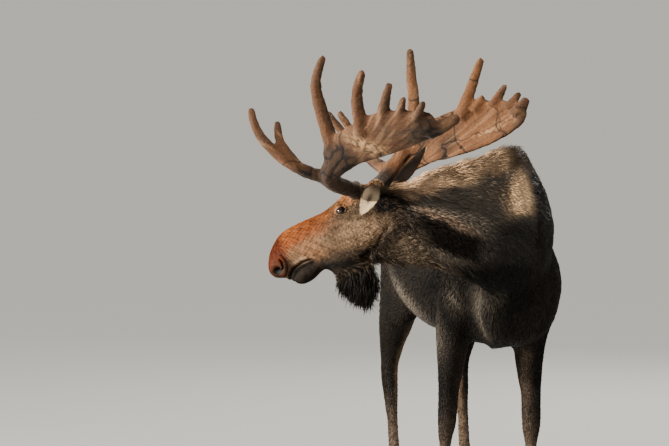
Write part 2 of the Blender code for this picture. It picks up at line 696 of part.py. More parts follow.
lower = {}
for name, obj in part_out(flesh, cuts, seeds).items():
    lower[name] = keep(obj, name, kinds.get(name, DARK_COAT))


# ---------------------------------------------------------------- hooves
def claw(x, y, side, name):
    """One half of a cloven hoof: flat sole, long pointed toe, top level with the coronet."""
    outline = []
    for a in np.linspace(0, 2 * math.pi, 10, endpoint=False):
        c, s = math.cos(a), math.sin(a)
        long = 0.088 if s > 0 else 0.050
        wide = 0.0262 * (1 - 0.55 * max(s, 0) ** 1.8)
        outline.append((wide * c - side * 0.006 * max(s, 0) ** 2, -long * s))
    rings = []
    for z, grow, slide in ((0.0, 0.97, 0.0), (0.024, 0.98, 0.009),
                           (0.052, 0.83, 0.023), (CORONET, 0.66, 0.033)):
        rings.append([(x + side * 0.0285 + px * min(grow + 0.12, 1.0), y + slide + py * grow, z)
                      for px, py in outline])
    return keep(closed_tube(rings, name), name, HORN)


def dewclaw(x, y, side, name, leg):
    """A short horny spur behind the fetlock, pointing down and back."""
    rings = []
    for t, r in ((0.0, 0.015), (0.55, 0.0135), (1.0, 0.005)):
        centre = (x + side * (0.022 + 0.004 * t), y + 0.030 + 0.028 * t, 0.150 - 0.046 * t)
        rings.append([(centre[0] + r * math.cos(a), centre[1] + 0.7 * r * math.sin(a),
                       centre[2] + 0.8 * r * math.sin(a))
                      for a in np.linspace(0, 2 * math.pi, 7, endpoint=False)])
    spur = closed_tube(rings, name)
    subtract(spur, swollen(leg, SEAT))
    return keep(largest(spur), name, HORN)


for name, (side, x, y, toe) in FEET.items():
    leg = lower[name.replace("fore", "foreleg").replace("hind", "hindleg") + "_lower"]
    for half, word in ((1, "left"), (-1, "right")):
        claw(side * x, y - toe - 0.012, half, "hoof_" + name + "_" + word)
        dewclaw(side * x, y, half, "dewclaw_" + name + "_" + word, leg)

# ---------------------------------------------------------------- stand it on the origin
corners = np.array([v.co for obj in MOOSE.objects for v in obj.data.vertices])
low, high = corners.min(axis=0), corners.max(axis=0)
shift = Vector((-(low[0] + high[0]) / 2, -(low[1] + high[1]) / 2, -low[2]))
for obj in MOOSE.objects:
    for v in obj.data.vertices:
        v.co += shift
for obj in list(WORK.objects):
    bpy.data.objects.remove(obj)
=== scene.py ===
import math

import bmesh
import bpy
import mathutils
import numpy as np
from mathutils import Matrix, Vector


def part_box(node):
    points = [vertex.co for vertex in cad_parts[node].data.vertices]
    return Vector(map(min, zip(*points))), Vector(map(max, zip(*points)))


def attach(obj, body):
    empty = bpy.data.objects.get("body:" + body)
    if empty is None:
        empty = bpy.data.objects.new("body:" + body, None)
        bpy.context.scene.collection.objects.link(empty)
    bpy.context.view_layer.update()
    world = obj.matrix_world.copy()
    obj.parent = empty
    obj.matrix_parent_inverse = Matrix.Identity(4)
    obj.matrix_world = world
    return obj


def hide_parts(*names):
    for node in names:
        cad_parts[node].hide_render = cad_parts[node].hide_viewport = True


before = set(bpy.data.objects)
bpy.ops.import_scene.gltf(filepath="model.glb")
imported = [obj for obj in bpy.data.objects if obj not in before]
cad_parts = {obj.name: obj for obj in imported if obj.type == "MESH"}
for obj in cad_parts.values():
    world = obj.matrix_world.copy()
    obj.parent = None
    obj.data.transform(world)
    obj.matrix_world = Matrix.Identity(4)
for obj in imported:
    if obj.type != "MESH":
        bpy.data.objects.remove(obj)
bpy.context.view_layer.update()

# ---------------------------------------------------------------- where the animal is
# A bull moose stands with its trunk along -Y and its neck bent hard to its own right. The head
# carries its own directions: along the face, to the animal's left, and out of the crown.
Z = np.array([0.0, 0.0, 1.0])
# How far the face slopes down, and the left eye's place from the poll in the head's directions.
HEAD_PITCH = math.radians(30.0)
EYE_PLACE = (0.255, 0.087, 0.010)


def unit(vectors):
    """Vectors scaled to length one."""
    vectors = np.asarray(vectors, float)
    return vectors / np.maximum(np.linalg.norm(vectors, axis=-1, keepdims=True), 1e-12)


def middle(node):
    """Centre of a node's box."""
    low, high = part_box(node)
    return (np.array(low) + np.array(high)) / 2


LEFT = unit(middle("eye_left") - middle("eye_right"))
LEVEL = np.cross(LEFT, Z)
FACE = LEVEL * math.cos(HEAD_PITCH) - Z * math.sin(HEAD_PITCH)
CROWN = LEVEL * math.sin(HEAD_PITCH) + Z * math.cos(HEAD_PITCH)
POLL = (middle("eye_left") + middle("eye_right")) / 2 - FACE * EYE_PLACE[0] - CROWN * EYE_PLACE[2]
TRUNK = middle("trunk")


def to_head(points):
    """Places as distances from the poll along the face, to its left and out of the crown."""
    d = points - POLL
    return d @ FACE, d @ LEFT, d @ CROWN


def from_head(u, v, w):
    """The place that lies u along the face from the poll, v to its left and w up from it."""
    return POLL + np.multiply.outer(u, FACE) + np.multiply.outer(v, LEFT) + np.multiply.outer(w, CROWN)


# ---------------------------------------------------------------- the skin
# One hide over trunk, neck, head, legs, bell and tail, drawn in from the tips of the coat by the
# depth of the hair. It is the flesh nodes fused, smoothed, and worked with folds on the head.
FLESH = ["trunk", "neck", "head", "muzzle", "bell", "tail"]
FLESH += [f"{leg}leg_{side}_{part}" for leg in ("fore", "hind")
          for side in ("left", "right") for part in ("upper", "lower")]
# Swelling of each node before it is fused, size of the grains it is fused in, rounds of smoothing.
SKIN_SWELL = 0.0012
SKIN_GRAIN = 0.0135
SKIN_ROUNDS = 20
# Middle of the neck's root on the trunk, and the way in which the neck leaves it.
NECK_FOOT = np.array([0.55, -0.46, 1.47])
NECK_WAY = unit([-0.45, -0.88, 0.20])


def step(low, high, x):
    """0 below low, 1 above high, and a smooth cubic between; low may be the greater."""
    t = np.clip((x - low) / (high - low), 0, 1)
    return t * t * (3 - 2 * t)


def span(x, low, full, last, gone):
    """1 from full to last, falling smoothly to 0 at low and at gone."""
    return step(low, full, x) * step(gone, last, x)


def bump(*terms):
    """A round hill: e to the minus of the sum of squared (offset, width) ratios."""
    return np.exp(-sum((offset / width) ** 2 for offset, width in terms))


def ripple(points, size, seed, waves=7):
    """Soft irregular mottling from -1 to 1: waves of about one size, run in random directions."""
    rng = np.random.default_rng(seed)
    ways = unit(rng.normal(size=(waves, 3))) * (2 * math.pi / size) * rng.uniform(0.6, 1.5, (waves, 1))
    return np.sin(points @ ways.T + rng.uniform(0, 6.28, waves)).sum(axis=1) / math.sqrt(waves) / 1.3


def welded(node):
    """A node's points and triangles with coincident points made one."""
    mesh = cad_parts[node].data
    points = np.empty(len(mesh.vertices) * 3)
    mesh.vertices.foreach_get("co", points)
    corners = np.empty(len(mesh.loops), int)
    mesh.loops.foreach_get("vertex_index", corners)
    points, place = np.unique(points.reshape(-1, 3).round(6), axis=0, return_inverse=True)
    return points, place.ravel()[corners].reshape(-1, 3)


def area_vectors(points, tris):
    """For each triangle, the cross product of two sides: square to it, twice its area long."""
    a, b, c = (points[tris[:, k]] for k in range(3))
    return np.cross(b - a, c - a)


def normals(points, tris):
    """Normals of the points: each is the sum of its triangles' area vectors, made unit."""
    area = area_vectors(points, tris)
    total = [np.bincount(tris.ravel(), np.repeat(area[:, k], 3), len(points)) for k in range(3)]
    return unit(np.stack(total, axis=1))


def mesh_of(name, points, tris):
    """A smooth-shaded mesh object of triangles at the origin."""
    mesh = bpy.data.meshes.new(name)
    mesh.vertices.add(len(points))
    mesh.vertices.foreach_set("co", np.ascontiguousarray(points, np.float32).ravel())
    mesh.loops.add(tris.size)
    mesh.loops.foreach_set("vertex_index", np.ascontiguousarray(tris, np.int32).ravel())
    mesh.polygons.add(len(tris))
    mesh.polygons.foreach_set("loop_start", np.arange(0, tris.size, 3, dtype=np.int32))
    mesh.polygons.foreach_set("use_smooth", np.ones(len(tris), bool))
    mesh.update(calc_edges=True)
    obj = bpy.data.objects.new(name, mesh)
    bpy.context.scene.collection.objects.link(obj)
    return obj


def arrays(mesh):
    """A triangle mesh's points and triangles as arrays."""
    points = np.empty(len(mesh.vertices) * 3)
    mesh.vertices.foreach_get("co", points)
    tris = np.empty(len(mesh.loops), int)
    mesh.loops.foreach_get("vertex_index", tris)
    return points.reshape(-1, 3), tris.reshape(-1, 3)


def fused(nodes, swell, grain):
    """One closed surface round the nodes, each first swollen so that the cuts between close."""
    points, tris, count = [], [], 0
    for node in nodes:
        p, t = welded(node)
        points.append(p + normals(p, t) * swell)
        tris.append(t + count)
        count += len(p)
    obj = mesh_of("fused", np.vstack(points), np.vstack(tris))
    remesh = obj.modifiers.new("voxels", "REMESH")
    remesh.mode = "VOXEL"
    remesh.voxel_size = grain
    graph = bpy.context.evaluated_depsgraph_get()
    mesh = bpy.data.meshes.new_from_object(obj.evaluated_get(graph))
    bpy.data.objects.remove(obj)
    bm = bmesh.new()
    bm.from_mesh(mesh)
    bmesh.ops.triangulate(bm, faces=bm.faces)
    bm.to_mesh(mesh)
    bm.free()
    return arrays(mesh)


def finer(points, tris, chosen):
    """The surface with every edge of the chosen triangles halved."""
    mesh = mesh_of("finer", points, tris)
    bm = bmesh.new()
    bm.from_mesh(mesh.data)
    bm.faces.ensure_lookup_table()
    edges = {e for k in np.flatnonzero(chosen) for e in bm.faces[k].edges}
    edges = sorted(edges, key=lambda e: e.index)
    bmesh.ops.subdivide_edges(bm, edges=edges, cuts=1, use_grid_fill=True)
    bmesh.ops.triangulate(bm, faces=bm.faces)
    bm.to_mesh(mesh.data)
    bm.free()
    result = arrays(mesh.data)
    bpy.data.objects.remove(mesh)
    return result


def relaxed(field, tris, rounds, share=1.0):
    """A field on the points, each time moved by half a share of the way to its neighbours' mean."""
    sides = np.vstack([tris[:, [0, 1]], tris[:, [1, 2]], tris[:, [2, 0]]])
    edges = np.unique(np.sort(sides, axis=1), axis=0)
    a, b = edges.T
    count = len(field)
    degree = np.bincount(edges.ravel(), minlength=count)[:, None]
    pull = 0.5 * np.reshape(share, (-1, 1))
    for _ in range(rounds):
        total = np.stack([np.bincount(a, field[b, k], count) + np.bincount(b, field[a, k], count)
                          for k in range(field.shape[1])], axis=1)
        field = field + pull * (total / degree - field)
    return field


def rounded_off(points, tris, rounds):
    """The facets smoothed away: relaxed twice over, so that thin limbs keep their girth."""
    soft = relaxed(points, tris, rounds)
    return soft + relaxed(points - soft, tris, rounds // 2)


def head_share(points):
    """1 on the head in front of the poll, 0 on the neck and everything else."""
    u, v, w = to_head(points)
    near = step(0.26, 0.20, abs(v)) * step(-0.52, -0.46, w) * step(0.95, 0.85, u)
    return step(-0.10, 0.03, u) * near


def neck_share(points):
    """1 on the neck, falling to 0 across its root on the trunk."""
    return step(-0.16, 0.16, (points - NECK_FOOT) @ NECK_WAY)


def leg_share(points):
    """1 below the elbow and stifle, 0 on the trunk."""
    return step(1.06, 0.82, points[:, 2])


def bell_share(points):
    """1 on the flap of hair that hangs from the throat."""
    u, v, w = to_head(points)
    under = w + 0.215 + 0.17 * (0.38 - u)
    return step(0.0, -0.05, under) * span(u, 0.14, 0.22, 0.51, 0.55) * step(0.2, 0.15, abs(v))


def throat_share(points):
    """1 where loose hair hangs behind the jaw, between the bell and the neck."""
    u, v, w = to_head(points)
    return bump((u - 0.200, 0.065), (v, 0.10), (w + 0.228, 0.045))


def coat_depth(points):
    """How far the skin lies under the tips of the hair: 10 mm on the trunk and more on neck and
    crest, 5 mm on the legs, 7 to 2.5 mm down the face, 16 mm in the bell."""
    u = to_head(points)[0]
    head = head_share(points)
    neck = neck_share(points)
    crest = step(1.66, 1.84, points[:, 2])
    depth = 0.010 + 0.005 * neck + 0.012 * crest
    depth = depth + (0.005 - depth) * leg_share(points)
    face = 0.007 - 0.0045 * step(0.20, 0.50, u)
    depth = depth + (face - depth) * head
    return depth + (0.016 - depth) * bell_share(points)


def mirrored(u, v, w, place, widths):
    """The same round hill on both sides of the head."""
    return bump((u - place[0], widths[0]), (abs(v) - place[1], widths[1]), (w - place[2], widths[2]))


# Places on the side of the head, along the face and out of the crown from the poll.
MOUTH_CORNER = (0.534, -0.110)
MOUTH_BEND = 0.595
NOSTRIL = (0.706, -0.055)
NOSTRIL_RADIUS = 0.038


def mouth_height(u):
    """Height of the mouth line above the face axis: nearly level from its corner, then falling
    ever more steeply to the front lip."""
    front, back = np.maximum(u - MOUTH_BEND, 0), np.maximum(MOUTH_BEND - u, 0)
    return -0.103 - 3.9 * front ** 2 - 1.9 * back ** 2


def mouth_gap(points):
    """1 along the mouth line, which widens to the front, and 0 away from it."""
    u, _, w = to_head(points)
    width = 0.0036 + 0.005 * step(0.61, 0.68, u)
    ends = step(MOUTH_CORNER[0] - 0.006, MOUTH_CORNER[0] + 0.006, u) * step(0.735, 0.70, u)
    return bump((w - mouth_height(u), width)) * ends * (head_share(points) > 0.5)


def nostril(points):
    """A crescent about the wing of the nose, thin above and wide below: how deep each place is,
    and its distance from the middle of the wing."""
    u, v, w = to_head(points)
    du, dw = u - NOSTRIL[0], w - NOSTRIL[1]
    reach = np.hypot(du, dw)
    turn = np.degrees(np.arctan2(-dw, -du))
    depth = 0.8 * bump((reach - NOSTRIL_RADIUS, 0.0045)) * span(turn, -34, -10, 60, 110)
    depth = np.maximum(depth, bump((du - 0.008, 0.023), (dw + 0.024, 0.0175)))
    depth = depth * step(0.02, 0.04, abs(v))
    return depth * (head_share(points) > 0.5), reach, turn


# Places along the neck, from the head back to the withers, that its hair follows.
NECK_LINE = np.array([(-0.19, -0.58, 1.60), (-0.05, -0.66, 1.60), (0.10, -0.69, 1.60),
                      (0.27, -0.66, 1.585), (0.43, -0.56, 1.565), (0.54, -0.38, 1.53),
                      (0.57, -0.18, 1.50)])


def lie(points, n):
    """Which way the hair lies: back over the face, along the neck to the shoulder, back and
    down over the trunk, straight down the legs, always along the surface."""
    head = head_share(points)[:, None]
    neck = neck_share(points)[:, None] * (1 - head)
    leg = leg_share(points)[:, None]
    bell = bell_share(points)[:, None]
    tail = step(TRUNK[1] + 0.93, TRUNK[1] + 0.97, points[:, 1])[:, None]
    near = np.argmin(((points[:, None, :] - NECK_LINE[None, :-1]) ** 2).sum(axis=2), axis=1)
    along = unit(np.diff(NECK_LINE, axis=0))[near]
    steep = step(0.35, -0.35, points[:, 1] - TRUNK[1] + 0.25)[:, None]
    way = np.array([0, 0.86, -0.45]) * (1 - steep) + np.array([0, 0.42, -0.95]) * steep
    below = step(1.62, 1.42, points[:, 2])[:, None]
    way = way + (along * 0.95 - Z * (0.30 + 0.55 * below) - way) * neck
    w = to_head(points)[2]
    back = -FACE[None] * 0.9 - CROWN[None] * (0.55 * step(0.02, -0.12, w))[:, None]
    way = way + (back - way) * head
    throat = throat_share(points)[:, None]
    hangs = np.maximum(np.maximum(leg, bell), np.maximum(tail, throat))
    way = way + (np.array([0, 0.10, -1.0]) - way) * hangs
    way = way - n * (way * n).sum(axis=1, keepdims=True)
    return unit(way + 1e-6)


def strands(points, n):
    """Streaks along the lie of the coat, -1 to 1: a fine ripple averaged over a run of hair,
    finer and shorter on the face."""
    way = lie(points, n)
    head = head_share(points)
    body = sum(ripple(points + way * t, 0.022, 91) for t in np.linspace(-0.06, 0.06, 7))
    face = sum(ripple(points + way * t, 0.011, 93) for t in np.linspace(-0.02, 0.02, 5))
    return np.clip((body / 7 * (1 - head) + face / 5 * head) * 2.0, -1, 1)


def crest_height(x):
    """Height at which the neck's darker side gives way to its tan crest: a sharp edge drawn where the
    antler's shadow ends, the tan above partly painted sunlight.
    """
    return 1.736 + 0.237 * x


def ridge_height(x):
    """Height of the ridge of muscle that runs back and down across the side of the neck."""
    return 1.606 - 0.39 * x


# Height, place from the poll and widths of each hill or hollow on both sides of the head.
HEAD_HILLS = (
    (0.010, (0.17, 0.11, -0.13), (0.075, 0.08, 0.07)),        # cheek muscle
    (0.006, (0.33, 0.09, -0.035), (0.10, 0.05, 0.018)),       # cheek ridge
    (-0.008, (0.37, 0.08, -0.105), (0.07, 0.05, 0.030)),      # hollow of the cheek
    (-0.006, (0.18, 0.10, 0.030), (0.035, 0.05, 0.022)),      # temple
    (0.006, (0.250, 0.10, 0.046), (0.040, 0.04, 0.012)),      # brow
    (0.005, (0.700, 0.075, -0.085), (0.045, 0.05, 0.025)),    # upper lip
)


def worked(points, tris):
    """Muscle, bone, folds, nostrils and mouth pressed into the hide."""
    n = normals(points, tris)
    u, v, w = to_head(points)
    head = head_share(points)
    move = sum(height * mirrored(u, v, w, *hill) for height, *hill in HEAD_HILLS)
    move -= 0.014 * bump((w + 0.200 + 0.26 * (u - 0.12), 0.022)) * span(u, 0.02, 0.08, 0.27, 0.34)
    # Nostril: a crescent with the wing swollen inside it, a rim behind, and a fold beyond.
    pit, reach, turn = nostril(points)
    flank = step(0.025, 0.045, abs(v)) * step(0.085, 0.070, reach)
    move += 0.0045 * bump((reach - 0.052, 0.007)) * span(turn, -45, -20, 80, 120) * flank
    move -= 0.0035 * bump((reach - 0.066, 0.006)) * span(turn, -50, -25, 35, 60) * flank
    move -= 0.030 * np.minimum(1.3 * pit, 1)
    folds = np.sin((u * 0.9 - w * 0.35) * 2 * math.pi / 0.0125)
    move += 0.0012 * folds * mirrored(u, v, w, (0.620, 0.08, -0.045), (0.022, 0.06, 0.035))
    # Mouth line, with an upper lip that hangs over it and a thin lower lip.
    gap = w - mouth_height(u)
    lips = step(MOUTH_CORNER[0] - 0.012, MOUTH_CORNER[0] + 0.012, u) * (head > 0.5)
    move -= 0.012 * mouth_gap(points)
    move += 0.0045 * bump((gap - 0.013, 0.009)) * lips
    move += 0.0035 * bump((gap + 0.013, 0.008)) * lips
    move -= 0.006 * step(0.0, -0.01, gap) * step(0.66, 0.70, u) * lips
    points = points + n * (move * head)[:, None]
    # Ridge of muscle that runs back and down across the neck.
    neck = neck_share(points) * (1 - head)
    x, y, z = points.T
    line = z - ridge_height(x)
    points = points + n * (0.012 * neck * bump((line, 0.055)))[:, None]
    # Keel of the brisket pushed forward, the hollow behind it, and the point of the shoulder.
    keel = np.hypot(x - 0.385 - 0.12 * (1.10 - z), y + 0.47)
    away = unit(np.array([-0.75, -0.66, 0.0]))
    ridge = bump((keel, 0.055)) * span(z, 0.94, 1.04, 1.20, 1.32)
    points = points + np.multiply.outer(0.024 * ridge, away)
    hollow = bump((x - 0.37, 0.05), (y + 0.26, 0.05), (z - 1.13, 0.12))
    point = bump((x - 0.30, 0.07), (y + 0.12, 0.06), (z - 1.18, 0.07))
    points = points + n * (0.016 * point - 0.020 * hollow)[:, None]
    # Back edge of the shoulder blade.
    blade = bump((y - TRUNK[1] + 0.42 + 0.5 * (z - 1.5), 0.07)) * span(z, 1.15, 1.35, 1.75, 1.88)
    return points + n * (0.010 * blade * (1 - neck) * (1 - head))[:, None]


def sunk_round_eyes(points):
    """The hide pressed in behind each eyeball's front, where the lids cover its edge."""
    u, v, w = to_head(points)
    for side in (1, -1):
        du, dv, dw = u - EYE_PLACE[0], side * v - EYE_PLACE[1], w - EYE_PLACE[2]
        ring = np.sqrt((du / 0.026) ** 2 + (dw / 0.020) ** 2)
        share = step(1.15, 0.85, ring) * (abs(dv) < 0.05) * (head_share(points) > 0.5)
        move = (np.minimum(dv, 0.008) - dv) * share
        points = points + np.multiply.outer(side * move, LEFT)
    return points


skin_points, skin_tris = fused(FLESH, SKIN_SWELL, SKIN_GRAIN)
skin_points = rounded_off(skin_points, skin_tris, SKIN_ROUNDS)
skin_points, skin_tris = finer(skin_points, skin_tris,
                               head_share(skin_points[skin_tris].mean(axis=1)) > 0.5)
skin_points = relaxed(skin_points, skin_tris, 3, share=head_share(skin_points))


def fine_places(points):
    """Where the hide needs its smallest facets: eyes, nostrils, lips."""
    u, v, w = to_head(points)
    eyes = mirrored(u, v, w, EYE_PLACE, (0.045, 0.06, 0.038)) > 0.37
    muzzle = (u > 0.50) & (w < 0.02) & (head_share(points) > 0.5)
    return eyes | muzzle


skin_points, skin_tris = finer(skin_points, skin_tris, fine_places(skin_points[skin_tris].mean(axis=1)))
skin_points = relaxed(skin_points, skin_tris, 3, share=head_share(skin_points))
skin_points = skin_points - normals(skin_points, skin_tris) * coat_depth(skin_points)[:, None]
skin_points = relaxed(skin_points, skin_tris, 2)
skin_points = sunk_round_eyes(worked(skin_points, skin_tris))
skin = mesh_of("skin", skin_points, skin_tris)


def linear(hex_colour):
    """An sRGB hex colour as linear red, green and blue."""
    c = np.array([int(hex_colour[k:k + 2], 16) for k in (1, 3, 5)]) / 255
    return np.where(c <= 0.04045, c / 12.92, ((c + 0.055) / 1.055) ** 2.4)


def plain(hex_colour, points):
    """One colour at every point."""
    return np.tile(linear(hex_colour), (len(points), 1))


def layered(colours, *layers):
    """Colours moved towards the colour of each layer in turn, by its share at each point."""
    for other, share in layers:
        colours = colours + (linear(other) - colours) * np.clip(share, 0, 1)[:, None]
    return colours


def markings(points, n):
    """Colour of hide and coat from place and facing alone, so that hair and skin agree."""
    x, y, z = points.T
    u, v, w = to_head(points)
    head = head_share(points)
    neck = neck_share(points) * (1 - head)
    mottle = ripple(points, 0.16, 3)
    fine = ripple(points, 0.035, 5)
    streak = strands(points, n)
    hump = step(1.60, 1.80, z + 0.03 * mottle) * step(TRUNK[1] + 0.35, TRUNK[1] - 0.25, y)
    ridge = z - ridge_height(x)
    # The band under the ridge that takes the antler's painted shadow.
    shade = span(ridge, -0.155, -0.125, -0.03, 0.0)
    nape = np.maximum(neck, step(0.10, 0.0, x) * step(1.40, 1.50, z))
    crest = z + 0.010 * mottle + 0.012 * streak - crest_height(x)
    spread = 0.042 + 0.16 * np.clip(1.80 - z, 0, 0.2)
    patch = bump((x - 0.418 - 0.15 * (z - 1.70), spread), (z - 1.71, 0.085)) * step(-0.45, -0.60, y)
    chest = bump((x - 0.32, 0.10), (y + 0.21, 0.16), (z - 1.12, 0.14))
    ribs = bump((y - 0.05, 0.26), (z - 1.235 + 0.1 * y, 0.085)) * step(0.38, 0.31, x)
    leg = leg_share(points)
    inner = step(-0.1, 0.9, -np.sign(x - TRUNK[0]) * n[:, 0] + 0.12 * mottle)
    hind = step(TRUNK[1] + 0.3, TRUNK[1] + 0.6, y)
    groin = step(TRUNK[1] + 0.55, TRUNK[1] + 0.72, y) * step(1.25, 1.0, z)
    rust = step(-0.075, 0.015, w + 0.006 * fine + 0.10 * step(0.62, 0.70, u))
    rust = step(0.25, 0.48 - 0.9 * np.clip(w, 0, 0.1), u) * rust
    jaw = w + 0.15 * (0.42 - u) + 0.006 * fine
    under = w - mouth_height(u)
    # Line along the cheek's lower edge, for the shade painted under it.
    cheek_shadow_line = w + 0.216 - 0.30 * np.clip(u - 0.38, 0, 1) + 0.006 * fine
    # Painted shadow of the ear and antler on the neck just behind the ear.
    painted_ear_shadow = bump((x + 0.220, 0.085), (y + 0.68, 0.13), (z - 1.668, 0.055))
    pit, reach, turn = nostril(points)
    # Fold behind the nostril's rim, for the shade painted in it.
    behind = bump((reach - 0.067, 0.008)) * span(turn, -50, -30, 35, 60)
    rims = mirrored(u, v, w, EYE_PLACE, (0.040, 0.05, 0.034))
    body = layered(
        plain("#120f0c", points),
        ("#1d1813", 0.5 + 0.5 * mottle),
        # Grey-brown saddle along the back, and the brown hump.
        ("#362b22", 0.55 * step(0.25, 0.85, n[:, 2]) * step(1.35, 1.6, z)),
        ("#57432f", 0.80 * hump * (1 - neck)),
        # Neck: grey-brown, with the antler's shadow painted under the ridge, painted sunlight along the
        # ridge and below the shadow, and painted shade at its root and under it; tan along the crest and
        # down the front of the hump, partly painted sunlight; the hump dark at its peak and on the
        # animal's left, there partly painted shade.
        ("#5b5349", neck * step(1.30, 1.45, z)),
        # Painted shadow of the antler across the side of the neck.
        ("#15110e", shade * neck * span(x, -0.22, -0.10, 0.15, 0.30)),
        # Painted sunlight: a lit streak along the ridge, between the antler's shadows.
        ("#7d6553", 0.8 * bump((ridge, 0.016)) * neck * span(x, -0.16, -0.08, 0.08, 0.20)),
        # Painted light: the lower neck lighter below the antler's shadow, where the sun reaches it.
        ("#75675a", 0.8 * step(-0.13, -0.17, ridge) * neck * step(0.10, -0.06, x)),
        # Painted shade over the root of the neck by the shoulder.
        ("#2b2825", neck * step(0.12, 0.30, x) * step(1.64, 1.54, z)),
        # Painted sunlight through a gap in the antler's shadow, on the neck's root.
        ("#6a5a4a", 0.8 * bump((x - 0.30, 0.09), (z - 1.715, 0.045)) * neck),
        # Painted shade under the neck.
        ("#0c0a08", 0.85 * neck * step(1.43, 1.35, z) * step(-0.02, 0.12, x)),
        # Tan crest: paler hair, partly painted sunlight, ending in a sharp edge at the antler's shadow.
        ("#a98b6c", nape * step(-0.02, 0.03, crest) * step(1.95, 1.90, z)),
        ("#c9a582", nape * step(-0.02, 0.02, crest) * step(0.06, -0.08, x)),
        # Tan on the front of the hump: paler hair brightened by painted sunlight between the antler's
        # shadows.
        ("#e3bd94", 2.0 * (1 + 0.5 * streak) * patch * step(1.59, 1.63, z)),
        ("#7d6650", 0.7 * step(1.86, 1.90, z) * step(-0.30, -0.18, y)),
        ("#261d16", 0.85 * step(1.81, 1.86, z) * step(-0.30, -0.42, y) * step(0.34, 0.40, x)),
        # The hump's left side: dark hair, deepened by painted shade on the side turned from the light.
        ("#1c1713", step(0.495, 0.530, x) * step(-0.35, -0.55, y) * step(1.84, 1.78, z)),
        # Chest and ribs: the near-black coat, darkened further by painted shade between the forelegs and on
        # the flank.
        ("#080605", 0.9 * np.maximum(chest, ribs)),
        # Legs: dark outside and above, paler inside the hind ones and down the shins.
        ("#171310", leg * 0.7),
        ("#76604b", leg * inner * (0.12 + 0.60 * hind)),
        ("#5f5043", step(0.62, 0.32, z) * 0.6),
        ("#463a31", step(0.20, 0.08, z) * 0.6),
        ("#6f5c4a", groin * inner * 0.55),
        ("#100d0b", bell_share(points)),
        # Painted shadow behind the ear.
        ("#0d0a08", 1.5 * painted_ear_shadow),
    )
    # Face: rust down the nose, warm forehead, speckled cheeks, dark jaw and lips; painted shade under
    # the cheek, behind the jaw and ear, in the nostril and its fold and along the mouth line; painted
    # highlights on the lip edges.
    face = layered(
        plain("#6e5842", points),
        ("#94623a", step(-0.01, 0.03, w) * step(0.08, 0.18, u)),
        ("#b8926d", step(0.0, -0.04, u) * step(-0.075, -0.045, w)),
        ("#54402f", 0.8 * bump((u - 0.33, 0.06), (w + 0.05, 0.045))),
        ("#4a3524", 0.6 * bump((u - 0.40, 0.06), (w + 0.13, 0.03))),
        ("#753d18", rust),
        ("#8a5429", step(0.42, 0.6, u) * step(0.03, 0.09, w) * 0.6),
        ("#5a331b", 0.55 * bump((u - 0.41, 0.06), (w - 0.035, 0.045))),
        ("#76543a", span(u, 0.40, 0.50, 0.54, 0.62) * step(0.0, -0.05, w)),
        ("#4f1f05", step(0.605, 0.655, u - 0.1 * w) * step(-0.09, -0.05, w)),
        ("#2c1a10", 0.9 * step(0.612, 0.640, u) * step(-0.035, -0.070, w + 0.006 * fine)),
        ("#382d22", step(-0.112, -0.165, jaw) * span(u, 0.20, 0.30, 0.50, 0.56)),
        # Painted highlight along the edge of the upper lip.
        ("#8d7159", bump((under - 0.014, 0.009)) * span(u, 0.50, 0.55, 0.60, 0.625) * 0.8),
        ("#1a130d", step(0.006, -0.006, under) * step(0.49, 0.54, u)),
        # Painted highlight along the edge of the lower lip.
        ("#574536", bump((under + 0.007, 0.004)) * span(u, 0.51, 0.54, 0.59, 0.63) * 0.6),
        # Painted shade behind the jaw, below the cheek.
        ("#221c17", step(-0.168, -0.192, w + 0.45 * (u - 0.14)) * step(0.36, 0.28, u)),
        ("#483d31", step(-0.225, -0.255, w)),
        # Painted shade along the cheek's lower edge, over the groove pressed there.
        ("#0b0806", 1.2 * bump((cheek_shadow_line, 0.024)) * span(u, 0.05, 0.12, 0.48, 0.56)),
        ("#8d7259", 0.75 * bump((u - 0.13, 0.085), (w + 0.145, 0.045))),
        # Painted shadow behind the ear.
        ("#0d0a08", 1.6 * painted_ear_shadow),
        # Painted shade in the fold behind the nostril.
        ("#2a1d15", 0.6 * behind),
        ("#5d3a27", 0.5 * bump((reach, 0.030)) * step(0.60, 0.70, u)),
        # Painted shade: black in the nostril and along the mouth line.
        ("#050403", step(0.15, 0.55, pit)),
        ("#0b0807", 1.3 * mouth_gap(points)),
        ("#5c4531", 0.4 * rims),
        ("#4d3e30", 0.5 * step(0.3, 1.0, abs(fine)) * step(0.45, 0.3, u)),
    )
    speck = ripple(points, 0.014, 8) * step(0.72, 0.60, u)
    face = face * (1 + 0.10 * mottle + 0.12 * streak + 0.42 * speck)[:, None]
    body = body * (1 + 0.10 * fine + 0.38 * streak)[:, None]
    return body + (face - body) * (head * (1 - bell_share(points)))[:, None]


def paint(obj, name, colours):
    """A colour for every point of the mesh, kept as a named attribute."""
    layer = obj.data.color_attributes.new(name, "FLOAT_COLOR", "POINT")
    rgba = np.ones((len(colours), 4), np.float32)
    rgba[:, :3] = np.clip(colours, 0, 1)
    layer.data.foreach_set("color", rgba.ravel())


def node(tree, kind, settings=None, inputs=None):
    """One shader node with its settings and its input values or links."""
    made = tree.nodes.new(kind)
    for key, value in (settings or {}).items():
        setattr(made, key, value)
    for key, value in (inputs or {}).items():
        if isinstance(value, bpy.types.NodeSocket):
            tree.links.new(value, made.inputs[key])
        else:
            made.inputs[key].default_value = value
    return made


def surface(name, colour, roughness, extra=None):
    """A material with one Principled shader; colour is a function of the node tree."""
    material = bpy.data.materials.new(name)
    material.use_nodes = True
    tree = material.node_tree
    shader = tree.nodes["Principled BSDF"]
    shader.inputs["Roughness"].default_value = roughness
    for key, value in (extra or {}).items():
        shader.inputs[key].default_value = value
    tree.links.new(colour(tree), shader.inputs["Base Color"])
    return material, tree, shader


